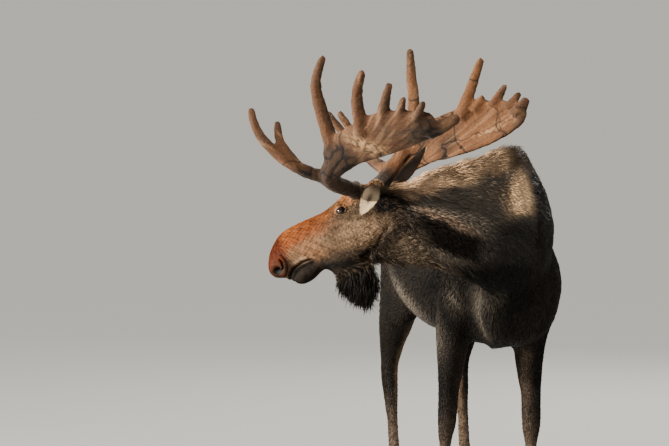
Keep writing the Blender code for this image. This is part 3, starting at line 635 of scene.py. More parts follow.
def laid(tree, name):
    """The colour laid on each point under a name."""
    return node(tree, "ShaderNodeAttribute", {"attribute_name": name}).outputs["Color"]


def noise(tree, scale, detail, rough=0.5):
    """Noise in the piece's own space, of so many waves a metre, from 0 to 1."""
    place = node(tree, "ShaderNodeTexCoord").outputs["Object"]
    settings = {"Vector": place, "Scale": scale, "Detail": detail, "Roughness": rough}
    return node(tree, "ShaderNodeTexNoise", None, settings).outputs["Fac"]


def mottled(tree, colour, grain, darkest, lightest):
    """A colour darkened and lightened by a grain."""
    level = node(tree, "ShaderNodeMapRange", None,
                 {"Value": grain, "From Min": 0.3, "From Max": 0.7, "To Min": darkest, "To Max": lightest})
    return node(tree, "ShaderNodeVectorMath", {"operation": "SCALE"},
                {0: colour, "Scale": level.outputs["Result"]}).outputs["Vector"]


def raised(tree, shader, grain, strength, height):
    """A grain pressed into the surface as relief of a height in metres."""
    relief = node(tree, "ShaderNodeBump", None, {"Height": grain, "Strength": strength, "Distance": height})
    tree.links.new(relief.outputs["Normal"], shader.inputs["Normal"])


# Hide seen between short hairs: dull, in streaks 2.4 mm apart, with a nap 2 mm across and deep.
STREAKS, NAP, NAP_HEIGHT = 420.0, 520.0, 0.002


def hide_colour(tree):
    """The markings, broken into hair-fine streaks."""
    return mottled(tree, laid(tree, "markings"), noise(tree, STREAKS, 3.0), 0.55, 1.35)


hide, tree, shader = surface("short hair on hide", hide_colour, 0.62, {"Specular IOR Level": 0.12})
raised(tree, shader, noise(tree, NAP, 2.0), 0.6, NAP_HEIGHT)

skin_normals = normals(skin_points, skin_tris)
paint(skin, "markings", markings(skin_points, skin_normals))
skin.data.materials.append(hide)


def unwrap(obj):
    """A flat layout of the piece's own surface, in islands that never overlap."""
    obj.data.uv_layers.new(name="OFBake")
    bpy.ops.object.select_all(action="DESELECT")
    bpy.context.view_layer.objects.active = obj
    obj.select_set(True)
    bpy.ops.object.mode_set(mode="EDIT")
    bpy.ops.mesh.select_all(action="SELECT")
    bpy.ops.uv.smart_project(angle_limit=math.radians(75), island_margin=0.001)
    bpy.ops.object.mode_set(mode="OBJECT")


def layout(obj):
    """The piece's flat layout as one pair of numbers for each triangle corner."""
    flat = np.empty(len(obj.data.loops) * 2)
    obj.data.uv_layers["OFBake"].data.foreach_get("uv", flat)
    return flat.reshape(-1, 3, 2)


unwrap(skin)
skin_layout = layout(skin)
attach(skin, "root")
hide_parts(*FLESH)

# ---------------------------------------------------------------- the coat
# Summer hair in overlapping locks rooted in the hide: long and loose on the hump, crest and bell,
# sleek on the flanks, short on the legs and finest on the face. Single hairs are too fine to show,
# so each lock stands for a tuft 2 to 7 mm wide.

# Side of the small square of the hide's layout that each lock takes.
PATCH = 0.003
# A lock is a root, a left, a right and a top point where it is widest, and a tip: six faces.
PATCH_PLACES = np.array([(0.5, 0), (0, 0.45), (1, 0.45), (0.5, 0.45), (0.5, 1)])
LOCK = np.array([(0, 3, 1), (0, 2, 3), (0, 1, 2), (1, 3, 4), (3, 2, 4), (2, 1, 4)])


def locks(name, roots, n, way, length, width, lift, root_colour, tip_colour, flat, material):
    """Locks as closed slivers: a root in the hide, widest just short of half way, then a point
    that sinks back towards the body. Each takes one small patch of the hide's layout."""
    side = np.cross(way, n)
    rise, sink = lift[:, None], 0.15 * lift[:, None]
    first = way * np.cos(rise) + n * np.sin(rise)
    second = way * np.cos(sink) + n * np.sin(sink)
    length, width = length[:, None], width[:, None]
    root = roots - n * length * 0.04
    broad = root + first * length * 0.42
    tip = broad + second * length * 0.58
    half = side * width * 0.5
    points = np.stack([root, broad - half, broad + half, broad + n * width * 0.42, tip], axis=1)
    tris = (LOCK[None] + 5 * np.arange(len(roots))[:, None, None]).reshape(-1, 3)
    obj = mesh_of(name, points.reshape(-1, 3), tris)
    shade = np.repeat(np.stack([root_colour * 0.55, root_colour, tip_colour], axis=1), (1, 3, 1), axis=1)
    paint(obj, "markings", shade.reshape(-1, 3))
    corners = flat[:, None] + (PATCH_PLACES[None] - 0.5) * PATCH
    corners = corners[:, LOCK.ravel()]
    layer = obj.data.uv_layers.new(name="OFBake")
    layer.data.foreach_set("uv", np.ascontiguousarray(corners, np.float32).ravel())
    obj.data.materials.append(material)
    return obj


# Coarse, dry, hollow hair: only a faint gloss along it.
hair = surface("coarse hair", lambda tree: laid(tree, "markings"), 0.44, {"Specular IOR Level": 0.06})[0]

rng = np.random.default_rng(11)
tri_area = np.linalg.norm(area_vectors(skin_points, skin_tris), axis=1) / 2
tri_mid = skin_points[skin_tris].mean(axis=1)


def clear_of_bare_places(points):
    """0 in the nostrils, on the eyes and the lips' edge, where no hair grows, and 1 elsewhere."""
    u, v, w = to_head(points)
    eye = mirrored(u, v, w, EYE_PLACE, (0.026, 0.05, 0.019)) > 0.40
    bare = eye | (nostril(points)[0] > 0.25) | (mouth_gap(points) > 0.4)
    return 1.0 - (bare & (head_share(points) > 0.5))


def scattered(density, want):
    """Roots spread over the hide by the density at each triangle: triangles, and the weights of
    their corners at each root."""
    mass = np.cumsum(tri_area * density)
    picks = (np.arange(want) + rng.random(want)) / want * mass[-1]
    chosen = np.searchsorted(mass, picks)
    p, q = rng.random((2, want))
    over = p + q > 1
    p[over], q[over] = 1 - p[over], 1 - q[over]
    return chosen, np.stack([1 - p - q, p, q], axis=1)[..., None]


def carried(values, corners, weights):
    """Values at the points, carried to places in triangles by the weights of the corners."""
    return (values[corners] * weights).sum(axis=1)


def painted_highlights(points):
    """1 where grey tips paint highlights on the coat: keel of the brisket, chest, top of the left leg,
    belly.
    """
    x, y, z = points.T
    keel = bump((x - 0.38, 0.05), (y + 0.40, 0.08), (z - 1.11, 0.11))
    chest = bump((x - 0.355, 0.05), (y + 0.52, 0.13), (z - 1.205, 0.06)) * 0.9
    elbow = bump((x - 0.29, 0.05), (y + 0.22, 0.06), (z - 1.155, 0.07)) * 0.8
    shin = bump((x - 0.26, 0.06), (y + 0.05, 0.07), (z - 0.93 - 0.4 * (x - 0.26), 0.11))
    flank = bump((z - 1.09 - 0.35 * (y - 0.57), 0.075), (y - 0.57, 0.20)) * step(0.44, 0.38, x)
    return np.clip(1.3 * keel + chest + elbow + shin + 1.4 * flank, 0, 1)


# Grey of the hair tips: scattered at random as painted glints, and gathered into painted highlights.
GLINT_GREY = linear("#a89a88")


def grow(name, density, want, size):
    """One piece of the coat: locks scattered, laid, coloured and joined."""
    chosen, weights = scattered(density, want)
    roots = carried(skin_points, skin_tris[chosen], weights)
    n = unit(carried(skin_normals, skin_tris[chosen], weights))
    flat = carried(skin_layout, chosen, weights)
    length, width, lift = size(roots, n)
    length = length * rng.uniform(0.75, 1.25, want)
    width = width * rng.uniform(0.8, 1.2, want)
    lift = lift * rng.uniform(0.6, 1.4, want)
    way = lie(roots, n)
    swing = rng.normal(0, 0.16, want)[:, None] + 0.22 * ripple(roots, 0.12, 21)[:, None]
    way = unit(way + np.cross(n, way) * swing)
    colour = markings(roots, n)
    streak = strands(roots, n)
    length = length * (1 + 0.18 * streak)
    lift = lift * (1 + 0.45 * streak)
    head = head_share(roots)[:, None]
    bright = 1 + rng.uniform(-0.22, 0.22, want)[:, None] * (1 + 0.6 * head)
    # Painted highlights, laid on as grey tips and a grey tint.
    painted_highlight = painted_highlights(roots)[:, None] * step(-0.6, 0.5, streak)[:, None]
    pale = np.clip(colour.mean(axis=1, keepdims=True) / 0.02, 0.25, 1)
    # Grey tips: painted glints at random, and most locks inside the painted highlights.
    grey_tips_and_glints = rng.random(want)[:, None] < 0.12 + 0.8 * painted_highlight
    grey_tips_and_glints = grey_tips_and_glints * (0.22 * pale * (1 - 0.6 * head) + 0.65 * painted_highlight)
    colour = colour + (GLINT_GREY - colour) * painted_highlight * 0.30
    tip = colour * 1.2 * bright
    tip = tip + (GLINT_GREY - tip) * grey_tips_and_glints
    obj = locks(name, roots, n, way, length, width, lift, colour * bright, tip, flat, hair)
    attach(obj, "root")
    return obj


def body_size(points, n):
    """Long and loose on hump, crest, brisket and bell, sleek elsewhere, short on the legs."""
    x, y, z = points.T
    neck = neck_share(points)
    crest = step(1.64, 1.84, z) * step(0.3, -0.2, y - TRUNK[1]) * step(0.34, 0.12, x)
    leg = leg_share(points)
    bell = bell_share(points)
    throat = throat_share(points)
    belly = step(-0.3, -0.9, n[:, 2]) * (1 - leg)
    length = 0.038 + 0.040 * crest + 0.014 * neck + 0.018 * belly
    length = length + (0.019 - length) * leg + 0.040 * bell
    width = 0.0066 - 0.0016 * neck
    width = width + (0.0042 - width) * leg
    lift = 0.17 + 0.30 * crest + 0.08 * neck + 0.12 * belly + 0.2 * bell
    mane = step(1.83, 1.88, z) * step(-0.36, -0.46, y) * span(x, 0.10, 0.24, 0.46, 0.53)
    peak = step(1.82, 1.87, z) * step(-0.46, -0.36, y)
    length = length + 0.022 * mane - 0.012 * peak + 0.030 * throat
    return length, width, lift + 0.34 * mane - 0.08 * peak + 0.55 * throat


def face_size(points, n):
    """A few millimetres on the muzzle, growing to two centimetres at the jaw and poll."""
    u, _, w = to_head(points)
    back = step(0.55, 0.10, u)
    jaw = step(-0.12, -0.22, w) * back
    brow = bump((u - 0.17, 0.06)) * step(0.045, 0.075, w)
    throat = throat_share(points)
    length = 0.0065 + 0.011 * back + 0.010 * jaw + 0.014 * brow + 0.085 * throat
    width = 0.0018 + 0.0017 * back + 0.002 * throat
    return length, width, 0.20 + 0.08 * back + 0.35 * brow + 0.70 * throat


# Locks in each piece of the coat, and where the pieces meet: distances along the face from the
# poll, the height of the neck's middle, and distances back along the trunk from its centre.
HEAD_LOCKS, NECK_LOCKS, TRUNK_LOCKS, LEG_LOCKS = 24000, 26000, 20000, 17000
FACE_CUTS = ((0.48, 9), (0.25, 0.48), (-9, 0.25))
NECK_MIDDLE = 1.60
TRUNK_CUTS = ((-9, -0.30), (-0.30, 0.10), (0.10, 0.50), (0.50, 9))
LEGS_CUT = 0.3


on_head = head_share(tri_mid) * (1 - bell_share(tri_mid))
on_neck = neck_share(tri_mid) * (1 - on_head)
on_leg = leg_share(tri_mid)
on_trunk = (1 - on_neck) * (1 - on_head) * (1 - on_leg)
bare = clear_of_bare_places(tri_mid)
low_line = step(0.070, 0.095, tri_mid[:, 2])
lengthwise = tri_mid[:, 1] - TRUNK[1]
nose_to_poll = to_head(tri_mid)[0]
for number, (near, far) in enumerate(FACE_CUTS, 1):
    inside = (nose_to_poll > near) & (nose_to_poll <= far)
    grow(f"coat_head_{number}", on_head * bare * inside, HEAD_LOCKS, face_size)
for word, inside in (("upper", tri_mid[:, 2] > NECK_MIDDLE), ("lower", tri_mid[:, 2] <= NECK_MIDDLE)):
    grow(f"coat_neck_{word}", on_neck * inside, NECK_LOCKS, body_size)
for number, (near, far) in enumerate(TRUNK_CUTS, 1):
    inside = (lengthwise > near) & (lengthwise <= far)
    grow(f"coat_trunk_{number}", on_trunk * inside, TRUNK_LOCKS, body_size)
for word, inside in (("fore", lengthwise < LEGS_CUT), ("hind", lengthwise >= LEGS_CUT)):
    grow(f"coat_legs_{word}", on_leg * inside * low_line, LEG_LOCKS, body_size)

# ---------------------------------------------------------------- ears
# A leaf of gristle under thin skin, cupped along its middle and rooted behind the antler. The left
# one hangs out sideways, its cup turned back. Dark short hair outside, cream hair within.
EAR_ROWS, EAR_AROUND = 40, 40
EAR_WIDTH = 0.086
EAR_LOCKS = 4200
EAR_LOCK_WIDTH = 0.0028
# Root, tip and the way the cup opens, each along the face, to the left and out of the crown.
EARS = {"left": ((0.036, 0.085, 0.025), (0.074, 0.305, -0.092), (-0.83, 0.46, 0.31)),
        "right": ((0.030, -0.085, 0.005), (-0.150, -0.235, 0.115), (-0.02, -0.75, -0.65))}


def grid(rows, around):
    """The two parameters of a ringed surface: 0 to 1 down its length, and once round in radians."""
    return np.linspace(0, 1, rows)[:, None], np.linspace(0, 2 * math.pi, around, endpoint=False)[None]


def between_rings(rows, around, looped=False):
    """Triangles from each ring of points to the next, and from the last to the first if looped."""
    k = np.arange(rows if looped else rows - 1)[:, None]
    j = np.arange(around)[None]
    this, following, beside = k * around, (k + 1) % rows * around, (j + 1) % around
    quad = np.stack([this + j, this + beside, following + beside, following + j], axis=-1).reshape(-1, 4)
    return np.vstack([quad[:, [0, 1, 2]], quad[:, [0, 2, 3]]])


def outward(points, tris):
    """The triangles of a closed surface, turned over if the volume they bound is negative."""
    a, b, c = (points[tris[:, k]] for k in range(3))
    return tris[:, ::-1] if (a * np.cross(b, c)).sum() < 0 else tris


def closed(name, rings):
    """A closed piece from rings of points, with a fan at each end round one added point."""
    rows, around, _ = rings.shape
    points = np.vstack([rings.reshape(-1, 3), rings[0].mean(axis=0), rings[-1].mean(axis=0)])
    j, end = np.arange(around), (rows - 1) * around
    first = np.stack([(j + 1) % around, j, np.full(around, rows * around)], axis=1)
    last = np.stack([end + j, end + (j + 1) % around, np.full(around, rows * around + 1)], axis=1)
    tris = outward(points, np.vstack([between_rings(rows, around), first, last]))
    return mesh_of(name, points, tris), points, tris


def ear_rings(root, tip, opening):
    """Rings along the ear: an oval bent into a trough whose depth falls to the tip. Also, at each
    point, 1 inside the cup, the share of the length, and the place across from -1 to 1."""
    root, tip, opening = np.array(root), np.array(tip), np.array(opening)
    axis = unit(tip - root)
    open_to = unit(opening - axis * (opening @ axis))
    across = np.cross(axis, open_to)
    s, turn = grid(EAR_ROWS, EAR_AROUND)
    half = EAR_WIDTH / 2 * (0.42 + 0.58 * np.sin(math.pi * np.minimum(s * 2.4, 1) / 2))
    half = half * np.maximum(1 - np.maximum(0, (s - 0.34) / 0.66) ** 1.7, 0.004) ** 0.72
    cup = 0.62 * half * (1 - 0.5 * s)
    wall = 0.0035 + 0.006 * (1 - s)
    t = np.cos(turn)
    deep = cup * t * t + np.sign(np.sin(turn)) * wall * abs(np.sin(turn)) ** 0.5 - cup * 0.5
    place = root + np.multiply.outer(s + 0 * turn, axis * np.linalg.norm(tip - root))
    place = place + np.multiply.outer(half * t, across) + np.multiply.outer(deep, open_to)
    inside = (np.sin(turn) > 0) * np.ones_like(s)
    return from_head(place[..., 0], place[..., 1], place[..., 2]), inside, s + 0 * turn, t + 0 * s


for word, shape in EARS.items():
    rings, inside, s, t = ear_rings(*shape)
    ear, points, tris = closed("ear_skin_" + word, rings)
    within = np.append((inside * step(1.0, 0.88, abs(t))).ravel(), (0, 0))
    edge = np.append((step(0.88, 1.0, abs(t)) * np.ones_like(s)).ravel(), (0, 0))
    ends = np.append(s.ravel(), (0, 1))
    spread = np.append((abs(t) * np.ones_like(s)).ravel(), (0, 0))
    colour = layered(
        plain("#2a221c", points),
        ("#f0d4ac", within),
        ("#3d2f25", edge * 0.75),
        # Painted shade in the ear's cup: darker towards the root and in the hollow.
        ("#8c6f55", step(0.30, 0.0, ends) * within),
        ("#5c4733", within * bump((spread, 0.26)) * bump((ends - 0.42, 0.20))),
    )
    paint(ear, "markings", colour)
    ear.data.materials.append(hide)
    unwrap(ear)
    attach(ear, "root")
    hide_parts("ear_" + word)
    # Hair of the ear, rooted all over it and running out to the tip.
    ear_n = normals(points, tris)
    mass = np.cumsum(np.linalg.norm(area_vectors(points, tris), axis=1))
    picks = (np.arange(EAR_LOCKS) + rng.random(EAR_LOCKS)) / EAR_LOCKS * mass[-1]
    chosen = np.searchsorted(mass, picks)
    weights = rng.dirichlet((1, 1, 1), EAR_LOCKS)[..., None]
    corners = tris[chosen]
    roots = carried(points, corners, weights)
    n = unit(carried(ear_n, corners, weights))
    out = from_head(*shape[1]) - from_head(*shape[0])
    way = out + rng.normal(0, 0.05, (EAR_LOCKS, 3))
    way = unit(way - n * (way * n).sum(axis=1, keepdims=True))
    root_colour = carried(colour, corners, weights) * rng.uniform(0.8, 1.2, EAR_LOCKS)[:, None]
    soft = carried(within, corners, weights[..., 0])
    fringe = carried(edge, corners, weights[..., 0])
    ear_hair = locks("coat_ear_" + word, roots, n, way, 0.009 + 0.007 * soft + 0.006 * fringe,
                     np.full(EAR_LOCKS, EAR_LOCK_WIDTH), 0.18 + 0.06 * soft, root_colour,
                     root_colour * 1.15, carried(layout(ear), chosen, weights), hair)
    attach(ear_hair, "root")

# ---------------------------------------------------------------- eyes and lids
# A dark wet eyeball with a brown iris and a long level pupil, held by two thick lids that meet
# in a tear corner in front. The cornea stands a twentieth of the radius proud.
EYE_RADIUS = 0.022
EYE_ROWS, EYE_AROUND = 40, 48
LID_ROWS, LID_AROUND = 14, 64
LID_THICKNESS = 0.0034

# A tear film over everything, so a hard small highlight.
wet = surface("wet eye", lambda tree: laid(tree, "iris"), 0.06,
              {"Coat Weight": 1.0, "Coat Roughness": 0.03})[0]


def from_eye(side, u, v, w):
    """The place that lies u, v and w from the middle of the left or right eye."""
    return from_head(EYE_PLACE[0] + u, side * (EYE_PLACE[1] + v), EYE_PLACE[2] + w)


for side, word in ((1, "left"), (-1, "right")):
    s, turn = grid(EYE_ROWS, EYE_AROUND)
    polar = 0.02 + (math.pi - 0.04) * s
    radius = EYE_RADIUS * (1 + 0.05 * bump((polar, 0.5)))
    du = radius * np.sin(polar) * np.cos(turn)
    dw = radius * np.sin(polar) * np.sin(turn)
    dv = radius * np.cos(polar) + 0 * turn
    eye, points, tris = closed("eyeball_" + word, from_eye(side, du, dv, dw))
    u, _, w = to_head(points)
    across, high = (u - EYE_PLACE[0]) / EYE_RADIUS, (w - EYE_PLACE[2]) / EYE_RADIUS
    colour = layered(
        plain("#2a1a10", points),
        ("#0a0706", step(0.42, 0.30, np.hypot(across * 0.75, high * 1.5))),
        ("#0c0908", step(0.70, 0.85, np.hypot(across, high))),
    )
    paint(eye, "iris", colour)
    eye.data.materials.append(wet)
    unwrap(eye)
    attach(eye, "root")
    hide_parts("eye_" + word)
    # Lids: a ring drawn over the ball, from the almond opening out to the hide.
    s, turn = grid(LID_ROWS, LID_AROUND)
    opening_u = 0.0200 * np.cos(turn) * (1 + 1.15 * s)
    lid = np.where(np.sin(turn) > 0, 0.0118, 0.0098) * abs(np.sin(turn)) ** 0.9 * np.sign(np.sin(turn))
    opening_w = lid * (1 + 1.75 * s) - 0.0022 * np.cos(turn)
    flat_r = np.hypot(opening_u, opening_w)
    outer = EYE_RADIUS + 0.0026 + 0.0008 * np.sin(math.pi * s) - 0.003 * s
    high_v = np.sqrt(np.maximum(outer ** 2 - np.minimum(flat_r, outer * 0.94) ** 2, 0))
    high_v = high_v - 0.55 * np.maximum(flat_r - outer * 0.94, 0)
    top = from_eye(side, opening_u, high_v, opening_w)
    under = from_eye(side, opening_u * 1.01, high_v - LID_THICKNESS, opening_w * 1.01)
    points = np.concatenate([top, under[::-1]]).reshape(-1, 3)
    tris = outward(points, between_rings(2 * LID_ROWS, LID_AROUND, looped=True))
    lids = mesh_of("eyelids_" + word, points, tris)
    u, _, w = to_head(points)
    colour = markings(points, normals(points, tris))
    close = np.sqrt(((u - EYE_PLACE[0]) / 0.021) ** 2 + ((w - EYE_PLACE[2]) / 0.012) ** 2)
    colour = layered(colour, ("#17110e", step(1.5, 1.05, close)))
    paint(lids, "markings", colour)
    lids.data.materials.append(hide)
    unwrap(lids)
    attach(lids, "root")

# ---------------------------------------------------------------- antlers
# Growing bone under a nap of velvet skin: round beam, brow branch, broad dished palm and blunt
# tines. Blood vessels run as grooves up the palm, and dried skin shows cream in patches.
ANTLER_SWELL = 0.0010
ANTLER_GRAIN = 0.0055
ANTLER_ROUNDS = 22
VESSEL_DEPTH = 0.0022
# The root of the palm, which the vessels fan out from, along the face and out of the crown.
PALM_ROOT = (0.12, 0.08)
# Downy skin: dull, with a faint warm sheen, and its nap is clumped 9 mm and 3 mm across.
VELVET_CLUMPS, VELVET_NAP, VELVET_NAP_HEIGHT = 110.0, 300.0, 0.0025


def velvet_colour(tree):
    """The velvet's brown and cream, mottled by the clumps of its nap."""
    return mottled(tree, laid(tree, "velvet"), noise(tree, VELVET_CLUMPS, 6.0, 0.8), 0.45, 1.55)


velvet, tree, shader = surface("antler velvet", velvet_colour, 0.85,
                               {"Specular IOR Level": 0.2, "Sheen Weight": 0.10,
                                "Sheen Roughness": 0.4, "Sheen Tint": (0.9, 0.75, 0.6, 1)})
raised(tree, shader, noise(tree, VELVET_NAP, 4.0), 0.7, VELVET_NAP_HEIGHT)


def round_palm_root(u, w):
    """Angle and distance of each place about the palm's root."""
    back, up = PALM_ROOT[0] - u, w - PALM_ROOT[1]
    return np.arctan2(up, back), np.hypot(back, up)


def vessels(points, side):
    """How deep a blood vessel's groove is at each place, up to 1: thin lines that fan out over the
    palm from its root and rings that cross them, bent by slow ripples."""
    u, v, w = to_head(points)
    angle, reach = round_palm_root(u, w)
    warp = 0.14 * ripple(points, 0.16, 31 + side) + 0.05 * ripple(points, 0.05, 37)
    fan = bump((abs(np.sin((angle + warp) * 5.5)) / 5.5 * reach, 0.0050)) * step(0.04, 0.10, reach)
    ring = abs(np.sin((reach + 0.035 * ripple(points, 0.14, 41)) * 17)) / 17
    ring = 0.7 * bump((ring, 0.0045)) * (1 if side < 0 else step(0.30, 0.24, reach))
    fan = fan * (1 if side < 0 else step(0.40, 0.32, reach))
    return np.maximum(fan, ring) * step(0.34, 0.40, abs(v))


# Middle of the cream band on the left palm and the way it runs, in the same two directions.
CREAM_PLACE = (-0.20, 0.135)
CREAM_WAY = (-0.13 / 0.214, -0.17 / 0.214)
for side, word in ((1, "left"), (-1, "right")):
    nodes = [f"antler_{part}_{word}" for part in ("beam", "brow", "palm", "tine_1", "tine_2")]
    points, tris = fused(nodes, ANTLER_SWELL, ANTLER_GRAIN)
    points = rounded_off(points, tris, ANTLER_ROUNDS)
    n = normals(points, tris)
    groove = vessels(points, side)
    knobs = ripple(points, 0.05, 43) * 0.0011 + ripple(points, 0.022, 47) * 0.0007
    points = points + n * (knobs - VESSEL_DEPTH * groove - 0.0012)[:, None]
    u, v, w = to_head(points)
    burr = bump((abs(v) - 0.115, 0.016)) * step(0.20, 0.15, abs(v))
    points = points + n * (burr * (0.006 + 0.003 * ripple(points, 0.03, 53)))[:, None]
    antler = mesh_of("antler_velvet_" + word, points, tris)
    angle, reach = round_palm_root(u, w)
    on_palm = step(0.38, 0.42, abs(v))
    grain = np.stack([angle * 0.30, reach * 0.10, v * 0.1], axis=1)
    streaks = ripple(grain, 0.016, 73)
    # Dried skin: on the left palm a slanting band, on the right one a strip near its edge.
    du, dw = u - CREAM_PLACE[0], w - CREAM_PLACE[1]
    along, off = du * CREAM_WAY[0] + dw * CREAM_WAY[1], du * CREAM_WAY[1] - dw * CREAM_WAY[0]
    near = bump((along, 0.095), (off, 0.032)) * step(-0.9, 0.4, ripple(points, 0.03, 60)) * on_palm
    far = 0.45 * bump((u + 0.42, 0.12), (w - 0.07, 0.022)) * step(-0.2, 0.6, ripple(points, 0.03, 62))
    cream = np.clip(1.6 * (near if side > 0 else far), 0, 1)
    base = step(-0.15, -0.05, u) * step(0.27, 0.20, w)
    base = base + span(u, -0.60, -0.54, -0.46, -0.38) * step(0.13, 0.07, w)
    net = bump((ripple(points, 0.066, 83), 0.30)) * on_palm
    colour = layered(
        # Painted shade: the left antler's velvet darker all over than the right one's.
        plain("#4c301c" if side > 0 else "#5f3d24", points),
        ("#3d2a1b", step(-0.2, 0.9, ripple(points, 0.2, 61))),
        ("#3c2a1d", 0.55 * step(0.1, 1.0, streaks)),
        ("#7d5f45", 0.45 * step(-0.1, -1.0, streaks)),
        ("#a07e58", 0.8 * cream),
        ("#85664a", 0.5 * step(0.0, 0.9, ripple(points, 0.045, 67)) * cream),
        # Vessel grooves dark: partly the vessels' own tone, partly painted shade in the grooves.
        ("#0c0705", 1.2 * groove),
        # Painted shade on the beam, under the palm.
        ("#1d140d", 0.85 * step(0.36, 0.24, abs(v))),
        # Painted shade over the foot of the left palm.
        ("#2a1c11", 0.9 * np.clip(base, 0, 1) * (side > 0) * (1 - cream)),
        ("#352519", 0.55 * step(-0.45, -0.60, u)),
        ("#0c0705", 1.1 * net * np.clip(base + 0.8 * cream, 0, 1) * (side > 0)),
        ("#443122", 0.5 * step(0.40, 0.56, w)),
        ("#a08363", 0.9 * burr * step(0.0, 0.8, ripple(points, 0.03, 71))),
    )
    paint(antler, "velvet", colour)
    antler.data.materials.append(velvet)
    unwrap(antler)
    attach(antler, "root")
    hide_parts(*nodes)

# ---------------------------------------------------------------- hooves and dewclaws
# Eight halves of dark horn, ringed by growth lines and worn flat below, with two small spurs
# behind every fetlock.
CLAW_ROWS, CLAW_AROUND = 28, 56
SPUR_ROWS, SPUR_AROUND = 16, 28
SPUR_RADIUS = 0.0145
# Horn worn dull by stones, in cloudy patches 17 mm across.
HORN_PATCHES = 60.0


def horn_colour(tree):
    """Near-black horn with faint paler patches."""
    tone = node(tree, "ShaderNodeRGB")
    tone.outputs["Color"].default_value = (*linear("#1d1713"), 1)
    return mottled(tree, tone.outputs["Color"], noise(tree, HORN_PATCHES, 5.0, 0.7), 0.6, 1.6)


horn = surface("dark horn", horn_colour, 0.55, {"Specular IOR Level": 0.2})[0]


def claw_rings(low, high):
    """Rings from sole to coronet: an oval drawn to a point at the toe, leaning back and
    narrowing as it rises, lower at the heel, with fine growth ridges."""
    s, turn = grid(CLAW_ROWS, CLAW_AROUND)
    front = np.maximum(np.sin(turn), 0)
    wide = (high[0] - low[0]) / 2 * (1 - 0.52 * front ** 1.7) * (1 - 0.26 * s ** 1.4)
    toe = (high[1] - low[1]) * (0.62 - 0.36 * s)
    heel = (high[1] - low[1]) * (0.38 - 0.06 * s)
    reach = np.where(np.sin(turn) > 0, toe, heel)
    ridge = 1 + 0.010 * np.sin(s * 46 + 0.8 * front) * step(0.05, 0.2, s)
    edge = 1 - 0.10 * step(0.04, 0.0, s)
    x = (low[0] + high[0]) / 2 + wide * np.cos(turn) * ridge * edge
    y = low[1] + (high[1] - low[1]) * 0.62 - reach * np.sin(turn) * ridge * edge
    z = 0.0002 + s * (high[2] - 0.030 * step(0.3, -0.8, np.sin(turn)))
    return np.stack([x, y, z], axis=-1)


def spur_rings(low, high):
    """Rings down a dewclaw: a blunt horn bedded in the fetlock, curving out to its tip."""
    s, turn = grid(SPUR_ROWS, SPUR_AROUND)
    radius = SPUR_RADIUS * np.sqrt(np.maximum(1 - s ** 2.2, 0.002)) * (0.75 + 0.25 * step(0.0, 0.3, s))
    x = (low[0] + high[0]) / 2 + radius * np.cos(turn)
    y = low[1] - 0.006 + (high[1] - low[1]) * (0.15 + 0.55 * s ** 1.4) + 0.8 * radius * np.sin(turn)
    z = high[2] - (high[2] - low[2] - 0.004) * s + 0.5 * radius * np.sin(turn)
    return np.stack([x, y, z], axis=-1)


for name in [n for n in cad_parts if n.startswith(("hoof", "dewclaw"))]:
    low, high = (np.array(corner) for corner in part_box(name))
    rings = claw_rings(low, high) if name.startswith("hoof") else spur_rings(low, high)
    claw = closed(name + "_horn", rings)[0]
    claw.data.materials.append(horn)
    unwrap(claw)
    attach(claw, "root")
    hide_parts(name)

# ---------------------------------------------------------------- floor, light and camera
# A plain pale floor. A warm lamp like a low sun stands high to the left of the camera, a weaker one
# low down beside the animal, a cool one in front of it and a last one behind. A long lens, well off.
FLOOR_SIZE = 600.0
SUN_POWER = 7.0
SUN_WIDTH = math.radians(3.0)
SUN_COLOUR = (1.0, 0.93, 0.82)
# Place, width, power and colour of each square lamp, all turned towards the chest.
LAMPS = {"low": ((-6.5, 0.9, 1.7), 1.0, 1300, (1.0, 0.95, 0.88)),
         "fill": ((4.0, -8.0, 3.0), 5.0, 90, (0.85, 0.92, 1.0)),
         "rim": ((4.5, 6.0, 5.0), 4.0, 380, (1.0, 0.98, 0.95))}
CHEST = (0.2, -0.2, 1.4)
# The camera stands before the animal, 18 degrees round to its right, and looks a little down.
AZIMUTH, ELEVATION = math.radians(-18.0), math.radians(4.0)
DISTANCE = 27.0
TARGET = np.array([-0.228, 0.113, 1.521])
# Metres across the view at the target, and millimetres across the film.
VIEW_WIDTH = 3.31188
SENSOR = 36.0

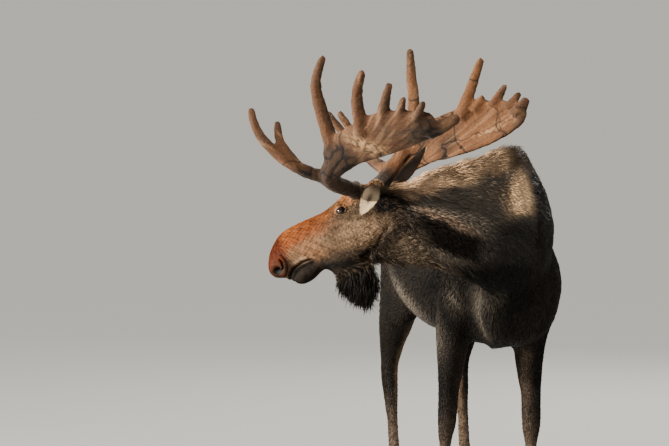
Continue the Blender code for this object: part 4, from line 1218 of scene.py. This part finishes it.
bpy.ops.mesh.primitive_plane_add(size=FLOOR_SIZE, location=(0, 0, -0.001))
floor = bpy.context.object
floor.name = "floor"
paint_of_floor = bpy.data.materials.new("pale floor")
paint_of_floor.use_nodes = True
shader = paint_of_floor.node_tree.nodes["Principled BSDF"]
shader.inputs["Base Color"].default_value = (0.36, 0.36, 0.35, 1)
shader.inputs["Roughness"].default_value = 0.9
floor.data.materials.append(paint_of_floor)

world = bpy.data.worlds.new("studio")
bpy.context.scene.world = world
world.use_nodes = True
world.node_tree.nodes["Background"].inputs["Color"].default_value = (0.93, 0.95, 1.0, 1)
world.node_tree.nodes["Background"].inputs["Strength"].default_value = 0.34

right = np.array([math.cos(AZIMUTH), math.sin(AZIMUTH), 0])
forward = np.array([-math.sin(AZIMUTH) * math.cos(ELEVATION),
                    math.cos(AZIMUTH) * math.cos(ELEVATION), -math.sin(ELEVATION)])


def aimed(obj, place, target):
    """Set an object at a place with its -Z axis towards a target and its X axis level."""
    back = unit(np.array(place) - np.array(target))
    side = unit(np.cross(Z, back))
    top = np.cross(back, side)
    turn = np.eye(4)
    turn[:3] = np.stack([side, top, back, place], axis=1)
    obj.matrix_world = mathutils.Matrix(turn.tolist())


def placed(name, data, place, target):
    """A lamp or camera put in the scene at a place and turned towards a target."""
    obj = bpy.data.objects.new(name, data)
    bpy.context.scene.collection.objects.link(obj)
    aimed(obj, place, target)
    return obj


sun = bpy.data.lights.new("key", "SUN")
sun.energy, sun.angle, sun.color = SUN_POWER, SUN_WIDTH, SUN_COLOUR
placed("key", sun, -right * 4.9 - forward * 6.6 + Z * 5.1, (0, 0, 0))
for name, (place, width, power, colour) in LAMPS.items():
    lamp = bpy.data.lights.new(name, "AREA")
    lamp.size, lamp.energy, lamp.color = width, power, colour
    placed(name, lamp, place, CHEST)

lens = bpy.data.cameras.new("camera")
lens.sensor_width = SENSOR
lens.lens = SENSOR * DISTANCE / VIEW_WIDTH
lens.clip_end = 200.0
camera = placed("camera", lens, TARGET - forward * DISTANCE, TARGET)
bpy.context.scene.camera = camera
